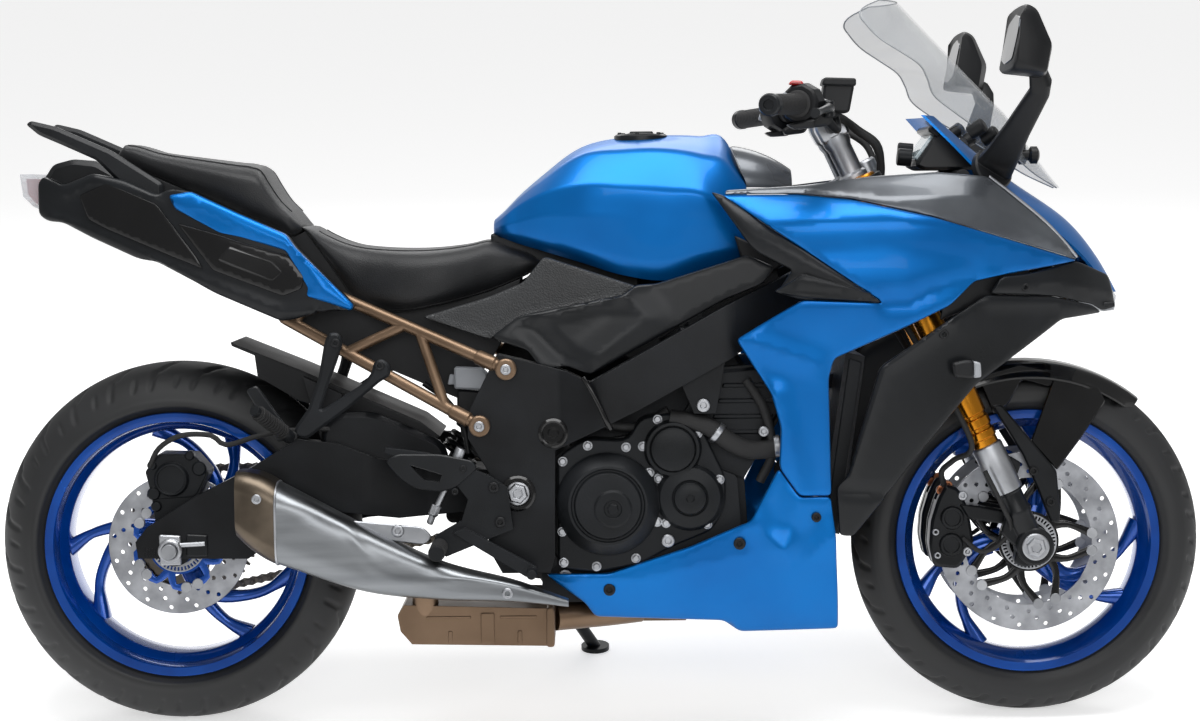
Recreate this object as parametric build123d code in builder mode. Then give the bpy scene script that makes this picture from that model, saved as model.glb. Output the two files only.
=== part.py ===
from build123d import *
import os
from math import cos, radians, sin, sqrt

# Sport touring motorcycle, parked on its side stand.
# Millimetres. +X is forward, +Y is the rider's left and +Z is up.
# Every piece is modelled upright, above the ground point midway between the axles, and leaned at the end.

# Chassis layout
WHEELBASE = 1460
RAKE = 25
TRAIL = 100
LEAN = 11
RUNNING_GAP = 0.05
SEAT_GAP = 0.3
PANEL_GAP = 0.8
PANEL = 4

# Wheels and tyres
FRONT_TYRE_RADIUS = 300
FRONT_TYRE_WIDTH = 120
FRONT_CROWN = 65
REAR_TYRE_RADIUS = 311
REAR_TYRE_WIDTH = 190
REAR_CROWN = 100
BEAD_RADIUS = 219
RIM_FLANGE_RADIUS = 226
FRONT_RIM_WIDTH = 89
REAR_RIM_WIDTH = 152
FRONT_HUB = 100
REAR_HUB = 124
AXLE_RADIUS = 12.5
FRONT_DISC_RADIUS = 155
REAR_DISC_RADIUS = 120
DISC = 5

# Steering and fork
FORK_SPREAD = 105
FORK_TUBE_RADIUS = 25
SLIDER_RADIUS = 26.5
STEM_RADIUS = 15
HEAD_RADIUS = 32
HEAD_LOW = 822
HEAD_HIGH = 970
YOKE_GAP = 5
BAR_RADIUS = 11
GRIP_RADIUS = 17

# Frame, swingarm and drive
FRAME_WALL = 36
FRAME_HALF = 170
PIVOT = (-143, 407)
PIVOT_RADIUS = 12
ARM_WALL = 28
SPROCKET_TEETH = 44
FRONT_SPROCKET_TEETH = 17
CHAIN_PITCH = 15.875
CHAIN_LINE = 112
SPROCKET = 7
SPROCKET_GAP = 5
CHAIN_PLATE = 3
CHAIN_HEIGHT = 14
OUTPUT_SHAFT = (-62, 390)
TUBE_RADIUS = 10

FRONT_AXLE = (WHEELBASE / 2, 0, FRONT_TYRE_RADIUS)
REAR_AXLE = (-WHEELBASE / 2, 0, REAR_TYRE_RADIUS)
RAKE_SIN, RAKE_COS = sin(radians(RAKE)), cos(radians(RAKE))
LEAN_SIN, LEAN_COS = sin(radians(LEAN)), cos(radians(LEAN))

# The steering frame: local x is ahead of the steering axis, local y is left, local z runs up the axis.
STEER = Plane(
    origin=(WHEELBASE / 2 + TRAIL, 0, 0),
    x_dir=(RAKE_COS, 0, RAKE_SIN),
    z_dir=(-RAKE_SIN, 0, RAKE_COS),
)
FORK_OFFSET = FRONT_TYRE_RADIUS * RAKE_SIN - TRAIL * RAKE_COS
AXLE_HEIGHT = FRONT_TYRE_RADIUS * RAKE_COS + TRAIL * RAKE_SIN


def bar(start, end, start_width, end_width):
    """The four corners of a tapered bar between two points of a sketch."""
    along = (Vector(*end) - Vector(*start)).normalized()
    side = Vector(-along.Y, along.X)
    corners = [
        Vector(*start) + side * (start_width / 2),
        Vector(*start) - side * (start_width / 2),
        Vector(*end) - side * (end_width / 2),
        Vector(*end) + side * (end_width / 2),
    ]
    return [(c.X, c.Y) for c in corners]


def polar(radius, degrees):
    """A point of a sketch at a radius and an angle."""
    return (radius * cos(radians(degrees)), radius * sin(radians(degrees)))


def rod(start, end, radius):
    """A round rod between two points."""
    axis = Vector(*end) - Vector(*start)
    with BuildPart() as piece:
        with BuildSketch(Plane(origin=start, z_dir=axis)):
            Circle(radius)
        extrude(amount=axis.length)
    return piece.part


def tube(points, radius, bend):
    """A round bar along straight runs joined by arcs."""
    with BuildPart() as piece:
        with BuildLine() as path:
            FilletPolyline(*points, radius=bend)
        with BuildSketch(Plane(origin=path.line @ 0, z_dir=path.line % 0)):
            Circle(radius)
        sweep()
    return piece.part


def side_plate(points, inner, outer, corner=0):
    """A plate with a side-view outline, on the right, between two distances from the middle."""
    with BuildPart() as piece:
        with BuildSketch(Plane.XZ.offset(inner)) as outline:
            Polygon(*points, align=None)
            if corner:
                fillet(outline.vertices(), corner)
        extrude(amount=outer - inner)
    return piece.part


def wheel_plane(axle):
    """The plane of a wheel's section: local x is left, local y is up from the axle."""
    return Plane(origin=axle, x_dir=(0, 1, 0), z_dir=(1, 0, 0))


def disc_plane(axle, left=0):
    """A plane across a wheel's axis, with local x forward, local y up and its normal to the right."""
    return Plane(origin=(axle[0], left, axle[2]), x_dir=(1, 0, 0), z_dir=(0, -1, 0))


def lofted_across(rings):
    """A body lofted along X through rings of (half-width, height), each from its lower edge to the top's middle."""
    with BuildPart() as piece:
        for x, ring in rings.items():
            with BuildSketch(Plane.YZ.offset(x)):
                with BuildLine():
                    over = Spline(*ring, *[(-half, height) for half, height in reversed(ring[:-1])])
                    Line(over @ 1, over @ 0)
                make_face()
        loft()
    return piece.part


# Tyres: a carcass with a round crown, two sidewalls and an open inside

TYRE_WALL = 9
BEAD_LAND = 12


def tyre(axle, radius, width, crown, rim_width):
    shoulder = width / 2 - 4
    shoulder_radius = radius - crown + sqrt(crown**2 - shoulder**2)
    bead = rim_width / 2 - 1
    wall_start = RIM_FLANGE_RADIUS + 3
    bulge_radius = (shoulder_radius + wall_start) / 2
    with BuildPart() as piece:
        with BuildSketch(wheel_plane(axle)):
            with BuildLine():
                ThreePointArc((-shoulder, shoulder_radius), (0, radius), (shoulder, shoulder_radius))
                ThreePointArc(
                    (-shoulder + TYRE_WALL, shoulder_radius - TYRE_WALL),
                    (0, radius - TYRE_WALL),
                    (shoulder - TYRE_WALL, shoulder_radius - TYRE_WALL),
                )
                for side in (-1, 1):
                    ThreePointArc(
                        (side * shoulder, shoulder_radius),
                        (side * width / 2, bulge_radius),
                        (side * bead, wall_start),
                    )
                    Line((side * bead, wall_start), (side * bead, BEAD_RADIUS))
                    Line((side * bead, BEAD_RADIUS), (side * (bead - BEAD_LAND), BEAD_RADIUS))
                    Line(
                        (side * (bead - BEAD_LAND), BEAD_RADIUS),
                        (side * (shoulder - TYRE_WALL), shoulder_radius - TYRE_WALL),
                    )
            make_face()
        revolve(axis=Axis(axle, (0, 1, 0)))
    return piece


front_tyre = tyre(FRONT_AXLE, FRONT_TYRE_RADIUS, FRONT_TYRE_WIDTH, FRONT_CROWN, FRONT_RIM_WIDTH)
rear_tyre = tyre(REAR_AXLE, REAR_TYRE_RADIUS, REAR_TYRE_WIDTH, REAR_CROWN, REAR_RIM_WIDTH)

# Cast rims: a drop-centre ring, a bored hub and three swept Y spokes

FLANGE = 6
RIM_WALL = 8
WELL_DEPTH = 16
SPOKE_DEPTH = 26
HUB_RADIUS = 38
SPOKE_FORK_RADIUS = 105
SPOKE_SWEEP = (19, 58)


def rim(axle, width, hub_width, first_spoke):
    half = width / 2
    seat = BEAD_RADIUS - SEAT_GAP
    well = half * 0.45
    with BuildPart() as piece:
        with BuildSketch(wheel_plane(axle)):
            with BuildLine():
                Polyline(
                    (half + FLANGE, RIM_FLANGE_RADIUS),
                    (half, RIM_FLANGE_RADIUS),
                    (half, seat),
                    (well + WELL_DEPTH / 2, seat - 2),
                    (well, seat - WELL_DEPTH),
                    (-well, seat - WELL_DEPTH),
                    (-well - WELL_DEPTH / 2, seat - 2),
                    (-half, seat),
                    (-half, RIM_FLANGE_RADIUS),
                    (-half - FLANGE, RIM_FLANGE_RADIUS),
                    (-half - FLANGE, seat - RIM_WALL),
                    (-well - WELL_DEPTH / 2 - 4, seat - RIM_WALL - 4),
                    (-well - 2, seat - WELL_DEPTH - RIM_WALL),
                    (well + 2, seat - WELL_DEPTH - RIM_WALL),
                    (well + WELL_DEPTH / 2 + 4, seat - RIM_WALL - 4),
                    (half + FLANGE, seat - RIM_WALL),
                    close=True,
                )
            make_face()
        revolve(axis=Axis(axle, (0, 1, 0)))
        with BuildSketch(disc_plane(axle)) as spokes:
            spoke_end = seat - WELL_DEPTH - RIM_WALL / 2
            for turn in range(3):
                stem = first_spoke + 120 * turn
                Polygon(*bar((0, 0), polar(SPOKE_FORK_RADIUS, stem), 44, 24), align=None)
                for sweep_angle in SPOKE_SWEEP:
                    start = polar(SPOKE_FORK_RADIUS - 8, stem)
                    end = polar(spoke_end, stem + sweep_angle)
                    Polygon(*bar(start, end, 20, 16), align=None)
        extrude(amount=SPOKE_DEPTH / 2, both=True)
        with BuildSketch(disc_plane(axle)):
            Circle(HUB_RADIUS)
        extrude(amount=hub_width / 2, both=True)
        with BuildSketch(disc_plane(axle)):
            Circle(AXLE_RADIUS + RUNNING_GAP)
        extrude(amount=hub_width, both=True, mode=Mode.SUBTRACT)
    return piece


front_rim = rim(FRONT_AXLE, FRONT_RIM_WIDTH, FRONT_HUB, 192)

# The rear hub's left end carries the sprocket
SPROCKET_CARRIER_RADIUS = 56
SPROCKET_INNER = CHAIN_LINE - SPROCKET / 2
with BuildPart() as rear_rim:
    add(rim(REAR_AXLE, REAR_RIM_WIDTH, REAR_HUB, 165).part)
    with BuildSketch(disc_plane(REAR_AXLE, SPROCKET_INNER)):
        Circle(SPROCKET_CARRIER_RADIUS)
        Circle(AXLE_RADIUS + RUNNING_GAP, mode=Mode.SUBTRACT)
    extrude(amount=SPROCKET_INNER - REAR_HUB / 2)

# Brake discs: a drilled ring on a carrier of five arms

DISC_BAND = 52
CARRIER_RADIUS = 48
CARRIER_BORE = 22


def disc(axle, left, radius, arms):
    """A brake disc whose right face is at a distance left of the middle."""
    with BuildPart() as piece:
        with BuildSketch(disc_plane(axle, left + DISC)):
            Circle(radius)
            Circle(radius - DISC_BAND, mode=Mode.SUBTRACT)
            Circle(CARRIER_RADIUS)
            for turn in range(arms):
                direction = 360 / arms * turn + 17
                Polygon(*bar((0, 0), polar(radius - DISC_BAND + 6, direction), 26, 18), align=None)
            Circle(CARRIER_BORE, mode=Mode.SUBTRACT)
        extrude(amount=DISC)
    return piece.part


with BuildPart() as front_discs:
    add(disc(FRONT_AXLE, FRONT_HUB / 2, FRONT_DISC_RADIUS, 5))
    add(disc(FRONT_AXLE, -FRONT_HUB / 2 - DISC, FRONT_DISC_RADIUS, 5))

with BuildPart() as rear_disc:
    add(disc(REAR_AXLE, -REAR_HUB / 2 - DISC, REAR_DISC_RADIUS, 5))

# Rear sprocket with its teeth, and the chain around it

REAR_PITCH_RADIUS = CHAIN_PITCH / 2 / sin(radians(180 / SPROCKET_TEETH))
FRONT_PITCH_RADIUS = CHAIN_PITCH / 2 / sin(radians(180 / FRONT_SPROCKET_TEETH))
TOOTH_HEIGHT = 9
ROLLER_RADIUS = 5

with BuildPart() as rear_sprocket:
    with BuildSketch(disc_plane(REAR_AXLE, CHAIN_LINE + SPROCKET / 2)):
        Circle(REAR_PITCH_RADIUS - TOOTH_HEIGHT / 2)
        for turn in range(SPROCKET_TEETH):
            direction = 360 / SPROCKET_TEETH * turn
            root = polar(REAR_PITCH_RADIUS - TOOTH_HEIGHT, direction)
            tip = polar(REAR_PITCH_RADIUS + TOOTH_HEIGHT / 2, direction)
            Polygon(*bar(root, tip, 9, 3), align=None)
        with PolarLocations(SPROCKET_CARRIER_RADIUS + 22, 6):
            Circle(15, mode=Mode.SUBTRACT)
        Circle(CARRIER_BORE, mode=Mode.SUBTRACT)
    extrude(amount=SPROCKET)

RAIL_INNER = CHAIN_LINE - SPROCKET / 2 - SPROCKET_GAP - CHAIN_PLATE
RAIL_OUTER = CHAIN_LINE + SPROCKET / 2 + SPROCKET_GAP
FRONT_SPROCKET = (OUTPUT_SHAFT[0], 0, OUTPUT_SHAFT[1])
RUN = Vector(REAR_AXLE[0] - OUTPUT_SHAFT[0], REAR_AXLE[2] - OUTPUT_SHAFT[1])
PIN_COUNT = int(RUN.length / (2 * CHAIN_PITCH)) - 4
ENGINE_LEFT_POCKET = 95

with BuildPart() as chain:
    for left in (RAIL_INNER, RAIL_OUTER):
        with BuildSketch(disc_plane(FRONT_SPROCKET, left + CHAIN_PLATE)):
            for grow, mode in ((CHAIN_HEIGHT / 2, Mode.ADD), (-CHAIN_HEIGHT / 2, Mode.SUBTRACT)):
                with BuildSketch(mode=Mode.PRIVATE) as loop:
                    Circle(FRONT_PITCH_RADIUS + grow)
                    with Locations((RUN.X, RUN.Y)):
                        Circle(REAR_PITCH_RADIUS + grow)
                    make_hull()
                add(loop.sketch, mode=mode)
        extrude(amount=CHAIN_PLATE)
    for side in (-1, 1):
        across = Vector(-RUN.Y, RUN.X).normalized() * side
        first = Vector(*OUTPUT_SHAFT) + across * FRONT_PITCH_RADIUS
        last = Vector(REAR_AXLE[0], REAR_AXLE[2]) + across * REAR_PITCH_RADIUS
        for step in range(PIN_COUNT):
            share = 0.06 + 0.84 * step / (PIN_COUNT - 1)
            place = first + (last - first) * share
            add(rod((place.X, RAIL_INNER, place.Y), (place.X, RAIL_OUTER + CHAIN_PLATE, place.Y), ROLLER_RADIUS))
    with BuildSketch(disc_plane(FRONT_SPROCKET, RAIL_OUTER)):
        Circle(FRONT_PITCH_RADIUS)
    extrude(amount=RAIL_OUTER - RAIL_INNER - CHAIN_PLATE)
    add(rod((OUTPUT_SHAFT[0], ENGINE_LEFT_POCKET, OUTPUT_SHAFT[1]),
            (OUTPUT_SHAFT[0], RAIL_INNER + CHAIN_PLATE, OUTPUT_SHAFT[1]), STEM_RADIUS))

# Axles: spindles with spacer collars

FRONT_AXLE_HALF = 132
REAR_AXLE_HALF = 168
SPACER_RADIUS = 17


def axle_spindle(axle, half, spacers):
    """An axle along Y with spacer collars between the given distances left."""
    with BuildPart() as piece:
        add(rod((axle[0], -half, axle[2]), (axle[0], half, axle[2]), AXLE_RADIUS))
        for low, high in spacers:
            add(rod((axle[0], low, axle[2]), (axle[0], high, axle[2]), SPACER_RADIUS))
    return piece


FORK_FOOT_HALF = 22
front_axle = axle_spindle(
    FRONT_AXLE,
    FRONT_AXLE_HALF,
    [
        (FRONT_HUB / 2 + SEAT_GAP, FORK_SPREAD - FORK_FOOT_HALF),
        (-FORK_SPREAD + FORK_FOOT_HALF, -FRONT_HUB / 2 - SEAT_GAP),
    ],
)

# Fork: two outer tubes, and the sliders with their feet

SLIDER_TOP = 505
SLIDER_BOTTOM = 420
FORK_TOP = 1008
FOOT_RADIUS = 21

with BuildPart() as fork_tubes:
    with BuildSketch(STEER.offset(SLIDER_TOP)):
        with Locations((FORK_OFFSET, FORK_SPREAD), (FORK_OFFSET, -FORK_SPREAD)):
            Circle(FORK_TUBE_RADIUS)
    extrude(amount=FORK_TOP - SLIDER_TOP)

with BuildPart() as fork_sliders:
    for side in (-1, 1):
        spread = side * FORK_SPREAD
        with BuildSketch(STEER.offset(SLIDER_BOTTOM)):
            with Locations((FORK_OFFSET, spread)):
                Circle(SLIDER_RADIUS)
        extrude(amount=SLIDER_TOP - SLIDER_BOTTOM)
        with BuildSketch(STEER.offset(AXLE_HEIGHT)):
            with Locations((FORK_OFFSET, spread)):
                Circle(FOOT_RADIUS)
        extrude(amount=SLIDER_BOTTOM - AXLE_HEIGHT)
        with BuildSketch(disc_plane(FRONT_AXLE, spread + FORK_FOOT_HALF)):
            Circle(32)
        extrude(amount=2 * FORK_FOOT_HALF)
        lug = [(-52, 20), (-40, 62), (-8, 70), (-8, 20)]
        with BuildSketch(disc_plane(FRONT_AXLE, spread + 10)):
            Polygon(*lug, align=None)
        extrude(amount=20)
    with BuildSketch(disc_plane(FRONT_AXLE)):
        Circle(AXLE_RADIUS + RUNNING_GAP)
    extrude(amount=2 * FORK_SPREAD, both=True, mode=Mode.SUBTRACT)

# Yokes: two clamps joined by the steering stem

YOKE = 27
UPPER_YOKE = HEAD_HIGH + YOKE_GAP
LOWER_YOKE = HEAD_LOW - YOKE_GAP - YOKE

with BuildPart() as yokes:
    for height in (LOWER_YOKE, UPPER_YOKE):
        with BuildSketch(STEER.offset(height)):
            with BuildSketch(mode=Mode.PRIVATE) as clamp:
                Circle(HEAD_RADIUS)
                with Locations((FORK_OFFSET, FORK_SPREAD), (FORK_OFFSET, -FORK_SPREAD)):
                    Circle(FORK_TUBE_RADIUS + 9)
                make_hull()
            add(clamp.sketch)
        extrude(amount=YOKE)
    with BuildSketch(STEER.offset(LOWER_YOKE)):
        Circle(STEM_RADIUS)
    extrude(amount=UPPER_YOKE - LOWER_YOKE)
    with BuildSketch(STEER.offset(LOWER_YOKE)):
        with Locations((FORK_OFFSET, FORK_SPREAD), (FORK_OFFSET, -FORK_SPREAD)):
            Circle(FORK_TUBE_RADIUS + RUNNING_GAP)
    extrude(amount=FORK_TOP, mode=Mode.SUBTRACT)

# Handlebar: a swept tube in two risers that stand on the upper yoke

RISER_SPREAD = 52
RISER_RADIUS = 20
BAR_MIDDLE = (392, 0, 1012)
BAR_BEND = (352, 215, 1048)
BAR_END = (268, 400, 1040)
BAR_STRAIGHT = 85
YOKE_TOP = UPPER_YOKE + YOKE

with BuildPart() as handlebar:
    bar_points = [
        (BAR_END[0], -BAR_END[1], BAR_END[2]),
        (BAR_BEND[0], -BAR_BEND[1], BAR_BEND[2]),
        (BAR_MIDDLE[0], -BAR_STRAIGHT, BAR_MIDDLE[2]),
        (BAR_MIDDLE[0], BAR_STRAIGHT, BAR_MIDDLE[2]),
        BAR_BEND,
        BAR_END,
    ]
    add(tube(bar_points, BAR_RADIUS, 60))
    bar_local = STEER.to_local_coords(Vector(*BAR_MIDDLE))
    for side in (-1, 1):
        with BuildSketch(STEER.offset(YOKE_TOP)):
            with Locations((bar_local.X, side * RISER_SPREAD)):
                Circle(RISER_RADIUS)
        extrude(amount=bar_local.Z + BAR_RADIUS + 6 - YOKE_TOP)

# Controls: grips, switch housings, levers and the brake reservoir

GRIP = 125
SWITCH_RADIUS = 26
SWITCH = 40
RESERVOIR_LEFT = -150

with BuildPart() as controls:
    for side in (-1, 1):
        outer = Vector(BAR_END[0], side * BAR_END[1], BAR_END[2])
        bend = Vector(BAR_BEND[0], side * BAR_BEND[1], BAR_BEND[2])
        along = (outer - bend).normalized()
        inner = outer - along * GRIP
        add(rod(inner, outer + along * 14, GRIP_RADIUS))
        add(rod(inner - along * SWITCH, inner, SWITCH_RADIUS))
        lever_root = inner - along * (SWITCH / 2) + Vector(42, 0, -8)
        lever_tip = outer - along * 20 + Vector(62, 0, -14)
        add(rod(lever_root, lever_tip, 6))
        add(rod(inner - along * (SWITCH / 2), lever_root + Vector(8, 0, 0), 13))
    add(side_plate([(364, 1036), (370, 1090), (420, 1084), (410, 1034)], -RESERVOIR_LEFT - 24,
                   -RESERVOIR_LEFT + 24, 6))
    add(rod((390, RESERVOIR_LEFT, 1038), (390, RESERVOIR_LEFT - 60, 1038), 13))
    add(rod((390, RESERVOIR_LEFT - 50, 1038), (BAR_BEND[0], -BAR_BEND[1], BAR_BEND[2]), 12))
    add(handlebar.part, mode=Mode.SUBTRACT)


# Front fender: an arch over the tyre with two side stays bolted to the sliders

FENDER_GAP = 11
FENDER = 4
FENDER_HALF = 74
FENDER_CROWN = 26
FENDER_STAY = 7

with BuildPart() as front_fender:
    fender_radius = FRONT_TYRE_RADIUS + FENDER_GAP
    fender_edge = fender_radius - FENDER_CROWN
    with BuildSketch(wheel_plane(FRONT_AXLE)):
        with BuildLine():
            for lift in (0, FENDER):
                ThreePointArc((-FENDER_HALF, fender_edge + lift), (0, fender_radius + lift),
                              (FENDER_HALF, fender_edge + lift))
            for left in (-FENDER_HALF, FENDER_HALF):
                Line((left, fender_edge), (left, fender_edge + FENDER))
        make_face()
    revolve(axis=Axis(FRONT_AXLE, (0, 1, 0)))
    with BuildSketch(disc_plane(FRONT_AXLE)):
        Polygon((0, 0), polar(500, 50), polar(500, 82), polar(500, 115), align=None)
    extrude(amount=2 * FENDER_HALF, both=True, mode=Mode.INTERSECT)
    stay = [polar(fender_edge + 2, angle) for angle in (104, 94, 84, 74, 64)]
    stay += [(105, 210), (60, 130), (25, 105), (-30, 112), (-80, 118), (-96, 175), (-50, 250)]
    for left in (FENDER_HALF, -FENDER_HALF + FENDER_STAY):
        with BuildSketch(disc_plane(FRONT_AXLE, left)):
            Polygon(*stay, align=None)
        extrude(amount=FENDER_STAY)
    for side in (-1, 1):
        with Locations(Location((FRONT_AXLE[0] - 65, side * (FENDER_HALF + FENDER_STAY), FRONT_AXLE[2] + 138))):
            Box(24, FENDER_STAY * 4, 24)
    add(fork_sliders.part, mode=Mode.SUBTRACT)

# Front calipers: a block behind each slider with a slot for the disc

CALIPER_OUTLINE = [(-176, -2), (-166, -44), (-118, -40), (-96, 20), (-106, 82), (-140, 108), (-158, 78), (-172, 40)]
CALIPER_INNER = 30
CALIPER_OUTER = 96
CALIPER_CLEAR = 5.5
PISTON_PLACES = [(-136, 46), (-138, 0)]
PISTON_RADIUS = 19
PISTON_PROUD = 7

with BuildPart() as front_calipers:
    with BuildSketch(disc_plane(FRONT_AXLE, -CALIPER_INNER)) as outline:
        Polygon(*CALIPER_OUTLINE, align=None)
        fillet(outline.vertices(), 9)
    extrude(amount=CALIPER_OUTER - PISTON_PROUD - CALIPER_INNER)
    with BuildSketch(disc_plane(FRONT_AXLE, -CALIPER_OUTER + PISTON_PROUD)):
        with Locations(*PISTON_PLACES):
            Circle(PISTON_RADIUS)
    extrude(amount=PISTON_PROUD)
    with BuildSketch(disc_plane(FRONT_AXLE, -FRONT_HUB / 2 + CALIPER_CLEAR)):
        Circle(FRONT_DISC_RADIUS + CALIPER_CLEAR)
    extrude(amount=DISC + 2 * CALIPER_CLEAR, mode=Mode.SUBTRACT)
    add(side_plate([(FRONT_AXLE[0] - 110, FRONT_AXLE[2] + 66), (FRONT_AXLE[0] - 112, FRONT_AXLE[2] + 30),
                    (FRONT_AXLE[0] - 20, FRONT_AXLE[2] + 24), (FRONT_AXLE[0] - 20, FRONT_AXLE[2] + 64)],
                   FRONT_HUB / 2 + DISC + CALIPER_CLEAR + 1, CALIPER_OUTER))
    add(fork_sliders.part, mode=Mode.SUBTRACT)
    mirror(about=Plane.XZ)

# Main frame: two spars from the steering head to the pivot plates, cross tubes and mounting posts

SPAR_OUTLINE = [
    (440, 800), (330, 775), (231, 729), (198, 713), (-21, 592), (-60, 610), (-175, 640), (-225, 540),
    (-225, 500), (-190, 440), (-215, 420), (-185, 300), (-170, 273), (-90, 273), (-82, 300), (-80, 478),
    (62, 547), (213, 629), (330, 708), (478, 760),
]
ENGINE_LUG = (170, 555)
LUG_INNER = 168
SPAR_PLAN = [(470, -14), (330, -128), (205, -187), (0, -190), (-70, -FRAME_HALF), (-260, -FRAME_HALF)]
PLATE_INNER = FRAME_HALF - FRAME_WALL / 2
PLATE_OUTER = FRAME_HALF + FRAME_WALL / 2
CROSS_TUBE_RADIUS = 22
TANK_FLOOR = 752

# The stand's pivot: its axis leans so that the leg swings from forward and out to straight back
STAND_PIVOT = (-122, 172, 236)
STAND_AXIS = Vector(-0.214, 0.965, 0.151).normalized()
STAND_EYE = 14
STAND_EYE_RADIUS = 19
STAND_PIN_RADIUS = 6
STAND_PLANE = Plane(origin=STAND_PIVOT, z_dir=STAND_AXIS)

with BuildPart() as main_frame:
    with BuildSketch(Plane.XY.offset(240)):
        with BuildLine():
            FilletPolyline(*SPAR_PLAN, radius=45)
        trace(line_width=FRAME_WALL)
    extrude(amount=640)
    with BuildSketch(Plane.XZ) as outline:
        Polygon(*SPAR_OUTLINE, align=None)
    extrude(amount=300, mode=Mode.INTERSECT)
    mirror(about=Plane.XZ)
    with BuildSketch(STEER.offset(HEAD_LOW)):
        Circle(HEAD_RADIUS)
    extrude(amount=HEAD_HIGH - HEAD_LOW)
    add(rod((-150, -PLATE_INNER - 2, 590), (-150, PLATE_INNER + 2, 590), CROSS_TUBE_RADIUS))
    add(rod((-140, -PLATE_INNER - 2, 292), (-140, PLATE_INNER + 2, 292), CROSS_TUBE_RADIUS))
    add(rod((PIVOT[0], -PLATE_OUTER - 6, PIVOT[1]), (PIVOT[0], PLATE_OUTER + 6, PIVOT[1]), PIVOT_RADIUS))
    with Locations(Location((150, 0, TANK_FLOOR - 84))):
        Box(40, 2 * PLATE_OUTER - 10, 24)
    with Locations(Location((150, 0, TANK_FLOOR - 40))):
        Box(40, 240, 80)
    for left in (-LUG_INNER - 18, LUG_INNER):
        with BuildSketch(disc_plane((ENGINE_LUG[0], 0, ENGINE_LUG[1]), left + 18)):
            Polygon((-45, 45), (35, 75), (18, -18), (-18, -18), align=None)
        extrude(amount=18)
    for radius, low, high in ((20, -26, -0.5), (STAND_PIN_RADIUS, -10, STAND_EYE + 4)):
        with BuildSketch(STAND_PLANE.offset(low)):
            Circle(radius)
        extrude(amount=high - low)
    add(rod((-130, PLATE_INNER + 2, 300), (STAND_PIVOT[0] + 3, STAND_PIVOT[1] - 22, STAND_PIVOT[2] - 2), 12))
    with BuildSketch(STEER.offset(HEAD_LOW - 1)):
        Circle(STEM_RADIUS + RUNNING_GAP)
    extrude(amount=HEAD_HIGH - HEAD_LOW + 60, mode=Mode.SUBTRACT)

# Side stand: an eye on the pin, a leg and a foot that lies flat on the ground

GROUND = Vector(0, -LEAN_SIN, LEAN_COS)
GROUND_DROP = (FRONT_CROWN + REAR_CROWN) / 2 * (1 - LEAN_COS)
FOOT = (-18, 300)
FOOT_THICK = 8
FOOT_PAD_RADIUS = 26
LEG_RADIUS = 11
foot_z = (FOOT[1] * LEAN_SIN - GROUND_DROP) / LEAN_COS

with BuildPart() as side_stand:
    with BuildSketch(STAND_PLANE):
        Circle(STAND_EYE_RADIUS)
    extrude(amount=STAND_EYE)
    foot_point = Vector(FOOT[0], FOOT[1], foot_z)
    eye_point = Vector(*STAND_PIVOT) + STAND_AXIS * (STAND_EYE + 2)
    add(rod(eye_point, foot_point + GROUND * (FOOT_THICK / 2), LEG_RADIUS))
    with BuildSketch(Plane(origin=foot_point, x_dir=(1, 0, 0), z_dir=GROUND)):
        Circle(FOOT_PAD_RADIUS)
    extrude(amount=FOOT_THICK)
    with BuildSketch(Plane(origin=foot_point, x_dir=(1, 0, 0), z_dir=GROUND)):
        Circle(200)
    extrude(amount=-60, mode=Mode.SUBTRACT)
    with BuildSketch(STAND_PLANE.offset(-20)):
        Circle(STAND_PIN_RADIUS + RUNNING_GAP)
    extrude(amount=60, mode=Mode.SUBTRACT)

# Swingarm: a pivot tube, a bridge and two arms; the left arm passes between the chain's two runs

RIGHT_ARM_OUTLINE = [
    (-110, 432), (-277, 444), (-378, 462), (-445, 488), (-513, 497), (-600, 445), (-690, 400), (-770, 350),
    (-790, 325), (-786, 297), (-600, 295), (-480, 378), (-345, 360), (-110, 375),
]
LEFT_ARM_OUTLINE = [
    (-110, 412), (-420, 412), (-600, 380), (-770, 345), (-790, 325), (-786, 280), (-600, 285), (-420, 330),
    (-300, 345), (-110, 375),
]

with BuildPart() as swingarm:
    for side, outline_points, plan in (
        (-1, RIGHT_ARM_OUTLINE, [(-120, 85), (-300, 104), (-400, 128), (-800, 128)]),
        (1, LEFT_ARM_OUTLINE, [(-120, 76), (-300, 92), (-430, 147), (-800, 147)]),
    ):
        with BuildPart(mode=Mode.PRIVATE) as arm:
            with BuildSketch(Plane.XY.offset(250)):
                with BuildLine():
                    FilletPolyline(*[(x, side * y) for x, y in plan], radius=60)
                trace(line_width=ARM_WALL)
            extrude(amount=300)
            with BuildSketch(Plane.XZ):
                Polygon(*outline_points, align=None)
            extrude(amount=300, both=True, mode=Mode.INTERSECT)
        add(arm.part)
    add(rod((PIVOT[0], -PLATE_INNER + 6, PIVOT[1]), (PIVOT[0], 92, PIVOT[1]), 30))
    with BuildSketch(Plane.XZ):
        Polygon((-150, 432), (-150, 385), (-370, 365), (-395, 385), (-380, 410), (-300, 432), align=None)
    extrude(amount=94, both=True)
    with BuildSketch(disc_plane((PIVOT[0], 0, PIVOT[1]))):
        Circle(PIVOT_RADIUS + RUNNING_GAP)
    extrude(amount=300, both=True, mode=Mode.SUBTRACT)
    with BuildSketch(disc_plane(REAR_AXLE)):
        Circle(AXLE_RADIUS + RUNNING_GAP)
    extrude(amount=300, both=True, mode=Mode.SUBTRACT)

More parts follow.
